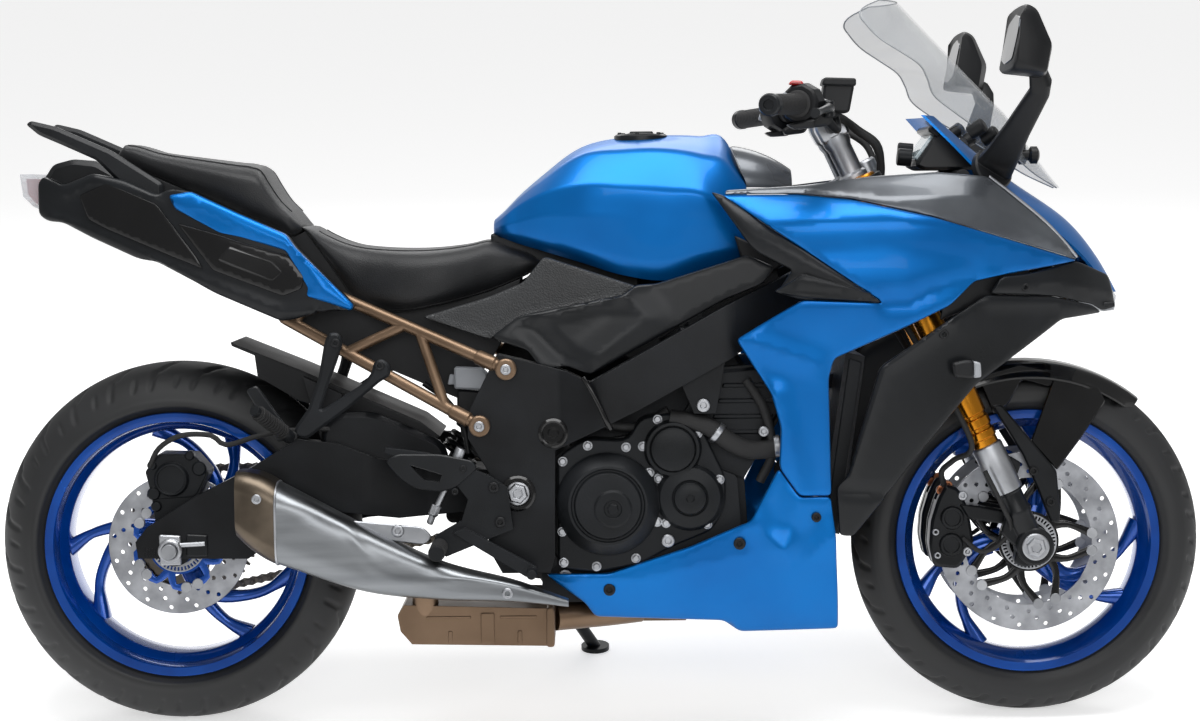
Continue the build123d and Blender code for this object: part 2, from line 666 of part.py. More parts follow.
ARM_RIGHT = 128 + ARM_WALL / 2
ARM_LEFT = 147 + ARM_WALL / 2
rear_axle = axle_spindle(
    REAR_AXLE,
    REAR_AXLE_HALF,
    [
        (ARM_LEFT, ARM_LEFT + 6),
        (CHAIN_LINE + SPROCKET / 2 + SEAT_GAP, ARM_LEFT - ARM_WALL),
        (-ARM_RIGHT + ARM_WALL, -REAR_HUB / 2 - SEAT_GAP),
        (-ARM_RIGHT - 8, -ARM_RIGHT),
    ],
)

# Rear caliper on its bracket, inside the right arm

with BuildPart() as rear_caliper:
    with BuildSketch(disc_plane(REAR_AXLE, -46)) as outline:
        Polygon((-34, 84), (40, 80), (62, 128), (36, 158), (-24, 160), (-46, 130), align=None)
        fillet(outline.vertices(), 8)
    extrude(amount=ARM_RIGHT - ARM_WALL - SEAT_GAP - 46)
    with BuildSketch(disc_plane(REAR_AXLE, -REAR_HUB / 2 + CALIPER_CLEAR)):
        Circle(REAR_DISC_RADIUS + CALIPER_CLEAR)
    extrude(amount=DISC + 2 * CALIPER_CLEAR, mode=Mode.SUBTRACT)
    with BuildSketch(disc_plane(REAR_AXLE, -ARM_RIGHT + ARM_WALL + SEAT_GAP + 10)):
        Polygon((-28, 20), (28, 20), (44, 90), (-36, 90), align=None)
        Circle(32)
        Circle(SPACER_RADIUS + SEAT_GAP, mode=Mode.SUBTRACT)
    extrude(amount=10)

# Rear mudguard: a sloping blade with skirts that stand on the arms

with BuildPart() as hugger:
    with BuildSketch(Plane.XZ):
        Polygon((-630, 658), (-514, 611), (-311, 521), (-277, 495), (-285, 488), (-315, 514), (-516, 604),
                (-628, 652), align=None)
    extrude(amount=96, both=True)
    skirt = [(-590, 640), (-514, 608), (-311, 518), (-281, 492), (-330, 500), (-470, 545), (-515, 558), (-585, 600)]
    add(side_plate(skirt, 92, 97))
    add(side_plate([(-505, 600), (-440, 570), (-452, 470), (-470, 470)], 96, 112))
    mirror(about=Plane.XZ)
    add(side_plate([(-505, 600), (-440, 570), (-452, 470), (-470, 470)], 108, 122))
    add(side_plate([(-505, 600), (-440, 570), (-452, 390), (-470, 390)], -142, -130))
    add(side_plate([(-505, 600), (-440, 570), (-445, 550), (-500, 550)], -132, -96))
    add(swingarm.part, mode=Mode.SUBTRACT)

# Rear shock between the swingarm bridge and the upper cross tube

with BuildPart() as rear_shock:
    low = Vector(-262, 0, 436)
    high = Vector(-170, 0, 578)
    along = (high - low).normalized()
    add(rod(low - along * 12, high + along * 6, 14))
    add(rod(low + along * 18, high - along * 24, 24))
    for step in range(7):
        start = low + along * (22 + 17 * step)
        add(rod(start, start + along * 9, 33))
    add(main_frame.part, mode=Mode.SUBTRACT)
    add(swingarm.part, mode=Mode.SUBTRACT)

# Engine: crankcase, leaning cylinders and mounting bosses

ENGINE_REAR_HALF = 140
ENGINE_HALF = 165
with BuildPart() as engine_block:
    with BuildSketch(Plane.XZ) as outline:
        Polygon((-105, 216), (210, 216), (245, 300), (236, 440), (150, 480), (60, 500), (-40, 485), (-105, 450),
                align=None)
        fillet(outline.vertices(), 14)
    extrude(amount=ENGINE_REAR_HALF, both=True)
    with BuildSketch(Plane.XZ) as outline:
        Polygon((-40, 282), (212, 282), (232, 320), (224, 430), (140, 462), (-40, 462), align=None)
        fillet(outline.vertices(), 12)
    extrude(amount=ENGINE_HALF, both=True)
    with BuildSketch(Plane.XZ):
        Polygon((96, 470), (236, 425), (312, 550), (286, 618), (182, 610), align=None)
    extrude(amount=150, both=True)
    with BuildSketch(Plane.XZ):
        Polygon((-60, 470), (110, 470), (190, 608), (70, 604), (-40, 540), align=None)
    extrude(amount=118, both=True)
    with Locations(Location((-72, ENGINE_LEFT_POCKET + 60, 385))):
        Box(130, 120, 150, mode=Mode.SUBTRACT)
    add(rod((-92, -PLATE_INNER, 288), (-92, PLATE_INNER, 288), 14))
    add(rod((ENGINE_LUG[0], -LUG_INNER, ENGINE_LUG[1]), (ENGINE_LUG[0], LUG_INNER, ENGINE_LUG[1]), 14))

# Engine covers: clutch and two small covers on the right, generator and sprocket covers on the left

CLUTCH_PROFILE = [(80, 0), (80, 22), (72, 30), (61, 30), (57, 38), (34, 40), (31, 35), (19, 35), (16, 40)]
SMALL_PROFILE = [(36, 0), (36, 18), (30, 26), (20, 27)]
PUMP_PROFILE = [(50, 0), (50, 20), (44, 28), (30, 29), (27, 31)]
GENERATOR_PROFILE = [(78, 0), (78, 24), (68, 33), (40, 35)]
COVERS = [
    ((7, 386), CLUTCH_PROFILE, -1),
    ((115, 470), SMALL_PROFILE, -1),
    ((146, 392), PUMP_PROFILE, -1),
    ((60, 380), GENERATOR_PROFILE, 1),
]

with BuildPart() as engine_covers:
    for (x, z), steps, side in COVERS:
        with BuildSketch(Plane.XY.offset(z)):
            profile = [(x + radius, side * (ENGINE_HALF + proud)) for radius, proud in steps]
            Polygon((x, side * ENGINE_HALF), *profile, (x, profile[-1][1]), align=None)
        revolve(axis=Axis((x, 0, z), (0, 1, 0)))

# Radiator in front of the engine

with BuildPart() as radiator:
    with BuildSketch(Plane.XZ):
        Polygon((362, 338), (394, 330), (438, 628), (406, 636), align=None)
    extrude(amount=165, both=True)
    add(side_plate([(300, 540), (300, 560), (400, 590), (398, 566)], -16, 16))
    add(engine_block.part, mode=Mode.SUBTRACT)

# Exhaust: four headers into a collector, a chamber under the engine and the muffler on the right

HEADER_RADIUS = 17
with BuildPart() as exhaust_headers:
    for left, merge in ((-105, -42), (-35, -16), (35, 16), (105, 42)):
        add(tube([(296, left, 545), (336, left, 500), (332, left, 320), (278, merge, 190), (130, merge, 190)],
                 HEADER_RADIUS, 28))
    with Locations(Location((80, 0, 190))):
        Box(120, 118, 42)
    add(rod((60, 0, 188), (-85, 0, 188), 22))
    add(engine_block.part, mode=Mode.SUBTRACT)

MUFFLER_SECTIONS = [(-60, -215, 227, 26, 12), (-140, -215, 246, 54, 32), (-272, -213, 267, 78, 62),
                    (-388, -215, 302, 100, 104), (-536, -219, 366, 118, 134)]
with BuildPart() as muffler:
    for x, left, height, width, tall in MUFFLER_SECTIONS:
        with BuildSketch(Plane.YZ.offset(x)):
            with Locations((left, height)):
                RectangleRounded(width, tall, min(width, tall) * 0.3)
    loft()

with BuildPart() as exhaust_chamber:
    with BuildSketch(Plane.XZ.offset(-60)) as outline:
        Polygon((-85, 151), (-85, 214), (-335, 222), (-346, 205), (-341, 178), (-322, 156), align=None)
        fillet(outline.vertices().group_by(Axis.X)[0], 8)
    extrude(amount=255)
    add(rod((-300, -172, 205), (-300, -192, 262), 22))
    add(muffler.part, mode=Mode.SUBTRACT)

with BuildPart() as muffler_cap:
    for x, left, height, width, tall in ((-536, -219, 366, 118, 134), (-572, -219, 385, 116, 132),
                                         (-604, -219, 400, 96, 106)):
        with BuildSketch(Plane.YZ.offset(x)):
            with Locations((left, height)):
                RectangleRounded(width, tall, min(width, tall) * 0.3)
    loft()
    with BuildSketch(Plane.YZ.offset(-610)):
        with Locations((-219, 396)):
            Circle(28)
    extrude(amount=50, mode=Mode.SUBTRACT)


# Subframe: two rails on each side that meet the frame at eyelets, braces and cross tubes

EYELET_RADIUS = 17
EYELET = 20
RAIL_LEFT = PLATE_OUTER + EYELET / 2
UPPER_EYELET = (-160, 615)
LOWER_EYELET = (-205, 521)
UPPER_RAIL_END = (-484, -98, 752)
LOWER_RAIL_END = (-534, -104, 697)


def along_rail(eyelet, end, x):
    """The point of a right-hand rail at a distance along the motorcycle."""
    share = (x - eyelet[0]) / (end[0] - eyelet[0])
    start = Vector(eyelet[0], -RAIL_LEFT, eyelet[1])
    return start + (Vector(*end) - start) * share


with BuildPart() as subframe:
    for eyelet, end in ((UPPER_EYELET, UPPER_RAIL_END), (LOWER_EYELET, LOWER_RAIL_END)):
        add(rod((eyelet[0], -RAIL_LEFT, eyelet[1]), end, TUBE_RADIUS))
        add(rod((eyelet[0], -PLATE_OUTER, eyelet[1]), (eyelet[0], -PLATE_OUTER - EYELET, eyelet[1]), EYELET_RADIUS))
        add(rod((end[0], 1, end[2]), (end[0], end[1], end[2]), TUBE_RADIUS))
    for upper_x, lower_x in ((-265, -300), (-330, -430), (-480, -520)):
        add(rod(along_rail(UPPER_EYELET, UPPER_RAIL_END, upper_x),
                along_rail(LOWER_EYELET, LOWER_RAIL_END, lower_x), TUBE_RADIUS - 1))
    mirror(about=Plane.XZ)
    add(main_frame.part, mode=Mode.SUBTRACT)

# Seat tray: the box between the rails that carries the seats

TRAY_HALF = 88
TRAY_REAR = -780
SEAT_BASE = [(-138, 761), (-189, 740), (-274, 718), (-342, 707), (-409, 711), (-500, 845)]
PILLION_BASE = [(-520, 836), (-614, 877), (-682, 907), (TRAY_REAR, 950)]

with BuildPart() as seat_tray:
    with BuildSketch(Plane.XZ):
        Polygon(*SEAT_BASE, *PILLION_BASE, (TRAY_REAR, 850), (-560, 712), (-545, 690), (-240, 556), (-190, 622),
                (-150, 690), align=None)
    extrude(amount=TRAY_HALF, both=True)
    add(subframe.part, mode=Mode.SUBTRACT)

# Tail: side panels that taper to the rear, a rear cover and the coloured stripes let into them

TAIL_OUTLINE = [
    (-950, 877), (-950, 933), (-941, 945), (-839, 944), (-738, 914), (-685, 914), (-610, 879), (-525, 841),
    (-509, 819), (-413, 722), (-417, 713), (-528, 697), (-545, 696), (-646, 736), (-688, 765), (-773, 801),
    (-874, 839), (-908, 862), (-941, 864),
]
STRIPE_OUTLINE = [
    (-722, 908), (-685, 914), (-610, 879), (-525, 841), (-509, 819), (-413, 722), (-417, 713), (-493, 738),
    (-489, 751), (-526, 814), (-601, 837), (-635, 844), (-711, 885),
]
TAIL_PLAN = [(-400, 150), (-640, 140), (-960, 78)]
TAIL_WALL = 36
STRIPE_PROUD = 3
STRIPE_WALL = 9

with BuildPart() as tail_stripes:
    with BuildSketch(Plane.XY.offset(650)):
        with BuildLine():
            Polyline(*[(x, -y - TAIL_WALL / 2 - STRIPE_PROUD + STRIPE_WALL / 2) for x, y in TAIL_PLAN])
        trace(line_width=STRIPE_WALL)
    extrude(amount=350)
    with BuildSketch(Plane.XZ):
        Polygon(*STRIPE_OUTLINE, align=None)
    extrude(amount=300, mode=Mode.INTERSECT)
    mirror(about=Plane.XZ)

with BuildPart() as tail_cowl:
    with BuildSketch(Plane.XY.offset(650)):
        with BuildLine():
            Polyline(*[(x, -y) for x, y in TAIL_PLAN])
        trace(line_width=TAIL_WALL)
    extrude(amount=350)
    with BuildSketch(Plane.XZ):
        Polygon(*TAIL_OUTLINE, align=None)
    extrude(amount=300, mode=Mode.INTERSECT)
    mirror(about=Plane.XZ)
    with BuildSketch(Plane.XZ):
        Polygon((-950, 880), (-950, 933), (-941, 945), (-930, 962), (-895, 971), (-855, 966), (-815, 942),
                (TRAY_REAR - SEAT_GAP, 925), (TRAY_REAR - SEAT_GAP, 856), (-905, 866), (-938, 868), align=None)
    extrude(amount=72, both=True)
    add(tail_stripes.part, mode=Mode.SUBTRACT)

with BuildPart() as tail_lamp:
    with BuildSketch(Plane.XZ):
        Polygon((-987, 946), (-964, 946), (-950, 933), (-950, 884), (-965, 891), (-982, 908), align=None)
    extrude(amount=66, both=True)

# Seats: crowned pads on the tray

PAD_SHAPE = [(0.84, 0), (0.95, 0.16), (1, 0.45), (0.955, 0.74), (0.78, 0.93), (0, 1)]


def pad(stations):
    """Rings of a seat from stations of x, half-width, base and top; PAD_SHAPE gives shares of width and height."""
    return {
        x: [(half * wide, base + (top - base) * high) for wide, high in PAD_SHAPE]
        for x, half, base, top in stations
    }


SEAT_STATIONS = [
    (-506, 84, 846, 853), (-470, 99, 801, 840), (-442, 101, 760, 828), (-409, 106, 713, 820), (-341, 128, 706, 814),
    (-273, 133, 717, 815), (-222, 114, 730, 821), (-192, 101, 739, 827), (-150, 90, 756, 816), (-112, 80, 775, 800),
    (-99, 66, 784, 789),
]
PILLION_STATIONS = [
    (-822, 64, 966, 984), (-806, 72, 960, 994), (-749, 84, 936, 982), (-682, 103, 906, 972), (-614, 120, 876, 963),
    (-590, 122, 865, 959), (-566, 120, 855, 938), (-545, 116, 847, 905), (-520, 110, 838, 874), (-508, 97, 846, 858),
]

with BuildPart() as rider_seat:
    add(lofted_across(pad(SEAT_STATIONS)))
    add(seat_tray.part, mode=Mode.SUBTRACT)

with BuildPart() as pillion_seat:
    add(lofted_across(pad(PILLION_STATIONS)))
    for other in (seat_tray, tail_cowl, tail_stripes):
        add(other.part, mode=Mode.SUBTRACT)

# Grab rails beside the pillion seat

with BuildPart() as grab_rails:
    add(side_plate([(-966, 1030), (-958, 1036), (-930, 1030), (-815, 984), (-735, 925), (-735, 890), (-800, 915),
                    (-850, 968), (-947, 1012)], 90, 114))
    mirror(about=Plane.XZ)
    for other in (tail_cowl, tail_stripes):
        add(other.part, mode=Mode.SUBTRACT)

# Fuel tank: rings across it, each from its lower edge over the knee and shoulder to the top, and its foot

TANK_RINGS = {
    -183: [(40, 833), (52, 838), (58, 846), (52, 853), (38, 858), (0, 861)],
    -140: [(80, 820), (100, 834), (106, 858), (96, 884), (66, 896), (0, 902)],
    -100: [(98, 808), (120, 826), (128, 868), (122, 904), (86, 926), (0, 936)],
    -40: [(118, 790), (138, 812), (148, 868), (146, 918), (100, 966), (0, 980)],
    40: [(136, 766), (150, 796), (158, 866), (160, 914), (112, 976), (0, 1000)],
    110: [(142, 758), (154, 792), (160, 850), (163, 908), (116, 976), (0, 1003)],
    170: [(136, 774), (150, 804), (156, 848), (160, 902), (112, 966), (0, 1001)],
    215: [(130, 786), (142, 808), (146, 838), (146, 880), (104, 950), (0, 994)],
    246: [(122, 796), (130, 808), (132, 830), (130, 870), (96, 914), (0, 932)],
}
TANK_FOOT = (150, 60, 220, 40)

with BuildPart() as fuel_tank:
    add(lofted_across(TANK_RINGS))
    foot_x, foot_length, foot_width, foot_height = TANK_FOOT
    with Locations(Location((foot_x, 0, TANK_FLOOR + foot_height / 2))):
        Box(foot_length, foot_width, foot_height)

# Cover between the tank and the steering head, fitted to the tank's front

FRONT_COVER_RINGS = {
    204: [(88, 912), (85, 945), (56, 976), (0, 985)],
    264: [(84, 912), (80, 938), (52, 967), (0, 975)],
    326: [(58, 912), (54, 924), (36, 938), (0, 943)],
}

with BuildPart() as tank_front_cover:
    add(lofted_across(FRONT_COVER_RINGS))
    add(fuel_tank.part, mode=Mode.SUBTRACT)

# Side covers under the tank, tucked behind the knee panels over the spars

KNEE_INNER = 166

with BuildPart() as side_covers:
    add(side_plate([(-96, 800), (62, 750), (32, 725), (-138, 694), (-186, 660), (-300, 701), (-189, 733),
                    (-132, 754)], 138, KNEE_INNER - SEAT_GAP))
    mirror(about=Plane.XZ)

with BuildPart() as knee_panels:
    add(side_plate([(64, 749), (243, 800), (288, 780), (204, 722), (-21, 600), (-60, 618), (-172, 648), (-188, 668),
                    (-138, 702), (33, 731)], KNEE_INNER, KNEE_INNER + 20))
    add(side_plate([(70, 632), (70, 656), (110, 678), (110, 654)], KNEE_INNER + 4, KNEE_INNER + 16))
    mirror(about=Plane.XZ)
    add(main_frame.part, mode=Mode.SUBTRACT)

# Fairing: one curved wall on each side, cut into panels along their outlines

FAIRING_STATIONS = (-120, 150, 400, 650, 800, 900)
FAIRING_LEVELS = {
    150: (112, 130, 140, 122, 92, 60),
    220: (150, 170, 180, 155, 108, 60),
    300: (165, 188, 198, 175, 120, 60),
    450: (185, 208, 220, 195, 130, 60),
    620: (190, 218, 240, 208, 138, 60),
    780: (190, 222, 262, 215, 132, 40),
    870: (180, 205, 246, 200, 115, 30),
    940: (150, 165, 180, 165, 95, 25),
}


def fairing_wall(inner, outer):
    """The right-hand wall between two depths below the fairing's surface."""
    with BuildPart() as piece:
        for level, half_widths in FAIRING_LEVELS.items():
            with BuildSketch(Plane.XY.offset(level)):
                with BuildLine():
                    skin = Spline(*[(x, outer - half) for x, half in zip(FAIRING_STATIONS, half_widths)])
                    back = Spline(*[(x, inner - half) for x, half in zip(FAIRING_STATIONS, half_widths)])
                    Line(skin @ 0, back @ 0)
                    Line(skin @ 1, back @ 1)
                make_face()
        loft()
    return piece.part


WALL = fairing_wall(PANEL, 0)
OUTSIDE = fairing_wall(PANEL, -120)


def fairing_panel(points):
    """A pair of panels with a side-view outline, kept half a shut line inside it."""
    with BuildPart() as piece:
        add(WALL)
        with BuildSketch(Plane.XZ):
            Polygon(*points, align=None)
            offset(amount=-PANEL_GAP / 2, kind=Kind.INTERSECTION, mode=Mode.REPLACE)
        extrude(amount=400, mode=Mode.INTERSECT)
        mirror(about=Plane.XZ)
    return piece


SIDE_TOP = [(200, 900), (329, 899), (411, 890), (543, 860), (798, 784)]
SIDE_FRONT = [(658, 762), (591, 741), (500, 679), (376, 628), (369, 598), (377, 400)]
COWL_JOINT = [(377, 400), (324, 400), (290, 448)]
fairing_sides = fairing_panel([
    *SIDE_TOP, *SIDE_FRONT, *COWL_JOINT[1:], (292, 516), (276, 574), (219, 662), (327, 727), (459, 721), (263, 855),
])
lower_cowls = fairing_panel([
    *COWL_JOINT, (244, 358), (143, 314), (9, 269), (-99, 267), (-33, 216), (-16, 191), (200, 189), (228, 170),
    (392, 175), (385, 332),
])
fork_panels = fairing_panel([
    (453, 620), (570, 697), (636, 733), (753, 725), (827, 708), (848, 694), (760, 689), (660, 627), (618, 586),
    (417, 330), (389, 334), (398, 413),
])
lamp_surround = fairing_panel([(636, 733), (658, 762), (798, 784), (862, 757), (878, 694), (848, 694), (827, 708),
                               (753, 725)])
fairing_inserts = fairing_panel([
    (200, 900), (263, 855), (459, 721), (327, 727), (287, 739), (311, 776), (254, 806), (241, 819), (181, 906),
])
top_covers = fairing_panel([*reversed(SIDE_TOP), (207, 907), (332, 914), (449, 928), (557, 934), (641, 926)])

# Front indicators on the fork panels

INDICATOR_OUTLINE = [(572, 622), (599, 626), (621, 621), (621, 595), (577, 597)]
INDICATOR_OUT = 248

with BuildPart() as front_indicators:
    with BuildSketch(Plane.XZ.offset(INDICATOR_OUT)) as outline:
        Polygon(*INDICATOR_OUTLINE, align=None)
        fillet(outline.vertices(), 8)
    extrude(amount=-60, taper=-8)
    add(fairing_wall(-SEAT_GAP, -80), mode=Mode.INTERSECT)
    mirror(about=Plane.XZ)

# Nose, screen: crescents stacked up the front


def crescents(levels, back, front):
    """A curved shield through arcs, each given as height, middle x, edge x and half-width."""
    with BuildPart() as piece:
        for level, middle, edge, half in levels:
            with BuildSketch(Plane.XY.offset(level)):
                with BuildLine():
                    skin = ThreePointArc((edge + front, -half), (middle + front, 0), (edge + front, half))
                    rear = ThreePointArc((edge - back, -half), (middle - back, 0), (edge - back, half))
                    Line(skin @ 0, rear @ 0)
                    Line(skin @ 1, rear @ 1)
                make_face()
        loft()
    return piece.part


NOSE_LEVELS = [(726, 890, 868, 30), (790, 852, 815, 100), (850, 802, 742, 138), (930, 690, 640, 146),
               (1030, 574, 545, 110)]
SCREEN_LEVELS = [(906, 792, 786, 16), (960, 750, 700, 84), (1031, 698, 590, 142), (1120, 612, 470, 156),
                 (1190, 545, 410, 142), (1225, 513, 470, 80)]
SCREEN = 5
NOSE = 6

with BuildPart() as windscreen:
    add(crescents(SCREEN_LEVELS, SCREEN, 0))

with BuildPart() as nose_cowl:
    add(crescents(NOSE_LEVELS, NOSE, 0))
    for side in (-1, 1):
        add(rod((640, side * 60, 962), (800, side * 60, 962), 9))
    add(crescents(SCREEN_LEVELS, SCREEN, 300), mode=Mode.SUBTRACT)

with BuildPart() as headlamp:
    with BuildSketch(Plane.XZ):
        Polygon((800, 702), (800, 776), (850, 757), (876, 722), (872, 697), (850, 697), align=None)
    extrude(amount=140, both=True)
    with BuildPart(mode=Mode.PRIVATE) as outside:
        add(OUTSIDE)
        mirror(about=Plane.XZ)
    add(outside.part, mode=Mode.SUBTRACT)
    add(nose_cowl.part, mode=Mode.SUBTRACT)

# Fairing stay: a spine from the steering head with a cross bar that carries nose, dash and mirrors

STAY_HALF = 14
CROSS_BAR = (604, 926)
MIRROR_FOOT = 150

with BuildPart() as fairing_stay:
    with BuildSketch(Plane.XZ):
        Polygon((462, 800), (452, 840), (590, 936), (618, 930), (840, 765), (820, 745), (600, 890), align=None)
    extrude(amount=STAY_HALF, both=True)
    add(rod((CROSS_BAR[0], -MIRROR_FOOT, CROSS_BAR[1]), (CROSS_BAR[0], MIRROR_FOOT, CROSS_BAR[1]), 12))
    add(rod((CROSS_BAR[0], 0, CROSS_BAR[1]), (562, 0, 978), 10))
    with BuildSketch(STEER.offset(HEAD_LOW)):
        Circle(HEAD_RADIUS)
    extrude(amount=HEAD_HIGH - HEAD_LOW, mode=Mode.SUBTRACT)
    for other in (nose_cowl, headlamp):
        add(other.part, mode=Mode.SUBTRACT)

with BuildPart() as dash:
    with BuildSketch(Plane.XZ):
        Polygon((534, 962), (550, 952), (576, 992), (560, 1006), align=None)
    extrude(amount=72, both=True)
    add(fairing_stay.part, mode=Mode.SUBTRACT)

# Mirrors on stems from the cross bar's ends

MIRROR_OUTLINE = [(668, 1198), (689, 1188), (716, 1131), (705, 1082), (650, 1088), (654, 1148)]
MIRROR_MIDDLE = (683, 1138)
MIRROR_SECTIONS = [(258, 0.72), (325, 1), (412, 0.8)]

with BuildPart() as mirrors:
    for distance, share in MIRROR_SECTIONS:
        with BuildSketch(Plane.XZ.offset(distance)) as outline:
            with Locations(MIRROR_MIDDLE):
                Polygon(*[((x - MIRROR_MIDDLE[0]) * share, (z - MIRROR_MIDDLE[1]) * share) for x, z in MIRROR_OUTLINE],
                        align=None)
            fillet(outline.vertices(), 6)
    loft()
    with BuildSketch(Plane(origin=(CROSS_BAR[0], -MIRROR_FOOT, CROSS_BAR[1] + 6), z_dir=(0, -1, 0))):
        Rectangle(24, 44)
    with BuildSketch(Plane(origin=(684, -306, 1092), z_dir=(0.3, -0.75, 0.6))):
        Rectangle(24, 40)
    loft()
    mirror(about=Plane.XZ)

# Footrests: rider's brackets on the pivot plates, passenger's brackets on the lower rails

with BuildPart() as rider_footrests:
    add(side_plate([(-190, 440), (-160, 420), (-150, 350), (-200, 330), (-262, 305), (-285, 318), (-280, 340),
                    (-236, 365), (-225, 400), (-255, 440), (-300, 455), (-363, 480), (-360, 488), (-290, 478),
                    (-240, 460)], PLATE_OUTER + 12, PLATE_OUTER + 24))
    for x, z in ((-182, 420), (-172, 362)):
        add(rod((x, -PLATE_OUTER, z), (x, -PLATE_OUTER - 14, z), 12))
    add(rod((-273, -PLATE_OUTER - 14, 322), (-273, -PLATE_OUTER - 110, 322), 12))
    add(side_plate([(-250, 346), (-230, 354), (-112, 288), (-112, 272), (-130, 272)], PLATE_OUTER + 24,
                   PLATE_OUTER + 36))
    add(rod((-120, -PLATE_OUTER - 26, 280), (-120, -PLATE_OUTER - 70, 280), 8))
    mirror(about=Plane.XZ)
    add(main_frame.part, mode=Mode.SUBTRACT)

with BuildPart() as pillion_footrests:
    add(side_plate([(-455, 668), (-436, 672), (-425, 640), (-380, 632), (-355, 622), (-362, 608), (-470, 515),
                    (-520, 490), (-535, 500), (-500, 540)], 170, 184))
    with BuildSketch(Plane.XZ.offset(168)):
        Polygon((-449, 628), (-398, 612), (-474, 550), align=None)
    extrude(amount=18, mode=Mode.SUBTRACT)
    for x in (-440, -372):
        foot = along_rail(LOWER_EYELET, LOWER_RAIL_END, x)
        add(rod((foot.X, foot.Y, foot.Z), (foot.X, -176, foot.Z), 9))
    add(rod((-520, -180, 502), (-572, -270, 560), 11))
    mirror(about=Plane.XZ)
    add(subframe.part, mode=Mode.SUBTRACT)

PIECES = {
    "front_tyre": front_tyre,
    "front_rim": front_rim,
    "front_discs": front_discs,
    "rear_tyre": rear_tyre,
    "rear_rim": rear_rim,
    "rear_disc": rear_disc,
    "rear_sprocket": rear_sprocket,
    "fork_tubes": fork_tubes,
    "fork_sliders": fork_sliders,
    "yokes": yokes,
    "handlebar": handlebar,
    "controls": controls,
    "front_fender": front_fender,
    "front_calipers": front_calipers,
    "front_axle": front_axle,
    "side_stand": side_stand,
    "main_frame": main_frame,
    "swingarm": swingarm,
    "rear_axle": rear_axle,
    "rear_caliper": rear_caliper,
    "hugger": hugger,
    "rear_shock": rear_shock,
    "chain": chain,
    "engine_block": engine_block,
    "engine_covers": engine_covers,
    "radiator": radiator,
    "exhaust_headers": exhaust_headers,
    "exhaust_chamber": exhaust_chamber,
    "muffler": muffler,
    "muffler_cap": muffler_cap,
    "subframe": subframe,
    "seat_tray": seat_tray,
    "tail_cowl": tail_cowl,
    "tail_stripes": tail_stripes,
    "tail_lamp": tail_lamp,
    "rider_seat": rider_seat,
    "pillion_seat": pillion_seat,
    "grab_rails": grab_rails,
    "fuel_tank": fuel_tank,
    "tank_front_cover": tank_front_cover,
    "side_covers": side_covers,
    "knee_panels": knee_panels,
    "fairing_sides": fairing_sides,
    "lower_cowls": lower_cowls,
    "fork_panels": fork_panels,
    "lamp_surround": lamp_surround,
    "fairing_inserts": fairing_inserts,
    "front_indicators": front_indicators,
    "top_covers": top_covers,
    "nose_cowl": nose_cowl,
    "windscreen": windscreen,
    "headlamp": headlamp,
    "fairing_stay": fairing_stay,
    "dash": dash,
    "mirrors": mirrors,
    "rider_footrests": rider_footrests,
    "pillion_footrests": pillion_footrests,
}

# Lean the motorcycle onto its stand, centre it and set its lowest point on the ground
TILT = Location((0, 0, 0), (-LEAN, 0, 0))
leaned_box = Compound(children=[piece.part.moved(TILT) for piece in PIECES.values()]).bounding_box()
PARKED = Location((-leaned_box.center().X, -leaned_box.center().Y, -leaned_box.min.Z)) * TILT

os.makedirs("parts", exist_ok=True)
for name, piece in PIECES.items():
    parked = piece.part.moved(PARKED)
    parked.label = name
    export_step(parked, f"parts/{name}.step")
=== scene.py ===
import math
import bpy
import numpy as np
from mathutils import Matrix, Vector
from mathutils.geometry import delaunay_2d_cdt


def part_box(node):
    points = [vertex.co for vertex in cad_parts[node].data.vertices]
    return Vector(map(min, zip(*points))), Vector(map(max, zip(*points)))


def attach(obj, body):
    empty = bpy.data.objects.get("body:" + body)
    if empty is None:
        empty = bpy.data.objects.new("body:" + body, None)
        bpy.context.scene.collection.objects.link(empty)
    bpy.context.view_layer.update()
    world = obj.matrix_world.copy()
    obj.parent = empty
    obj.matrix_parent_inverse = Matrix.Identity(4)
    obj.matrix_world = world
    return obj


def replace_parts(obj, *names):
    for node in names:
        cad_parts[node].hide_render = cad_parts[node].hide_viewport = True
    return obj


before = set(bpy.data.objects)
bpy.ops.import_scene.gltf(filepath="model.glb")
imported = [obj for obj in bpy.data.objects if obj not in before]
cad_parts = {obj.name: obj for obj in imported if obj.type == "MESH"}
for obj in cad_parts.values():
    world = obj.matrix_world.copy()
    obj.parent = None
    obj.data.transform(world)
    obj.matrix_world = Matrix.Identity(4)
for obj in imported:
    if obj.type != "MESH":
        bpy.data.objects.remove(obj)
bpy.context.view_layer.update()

# Shapes are written in the motorcycle's own upright frame, in millimetres:
# x forward, y to the rider's left, z up from the ground midway between the axles.
MM = 0.001
LEAN = math.radians(11)
FRONT_AXLE = Vector((730, 0, 300))
REAR_AXLE = Vector((-730, 0, 311))
RAKE = math.radians(25)
RIGHT, LEFT, UP, FORWARD = (0, -1, 0), (0, 1, 0), (0, 0, 1), (1, 0, 0)

axle_low, axle_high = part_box("front_axle")
TILT = Matrix.Rotation(-LEAN, 4, "X")
PARK = Matrix.Translation((axle_low + axle_high) / 2 - (TILT @ FRONT_AXLE) * MM) @ TILT @ Matrix.Scale(MM, 4)
PARK_ARRAY = np.array(PARK)

# Mesh tools


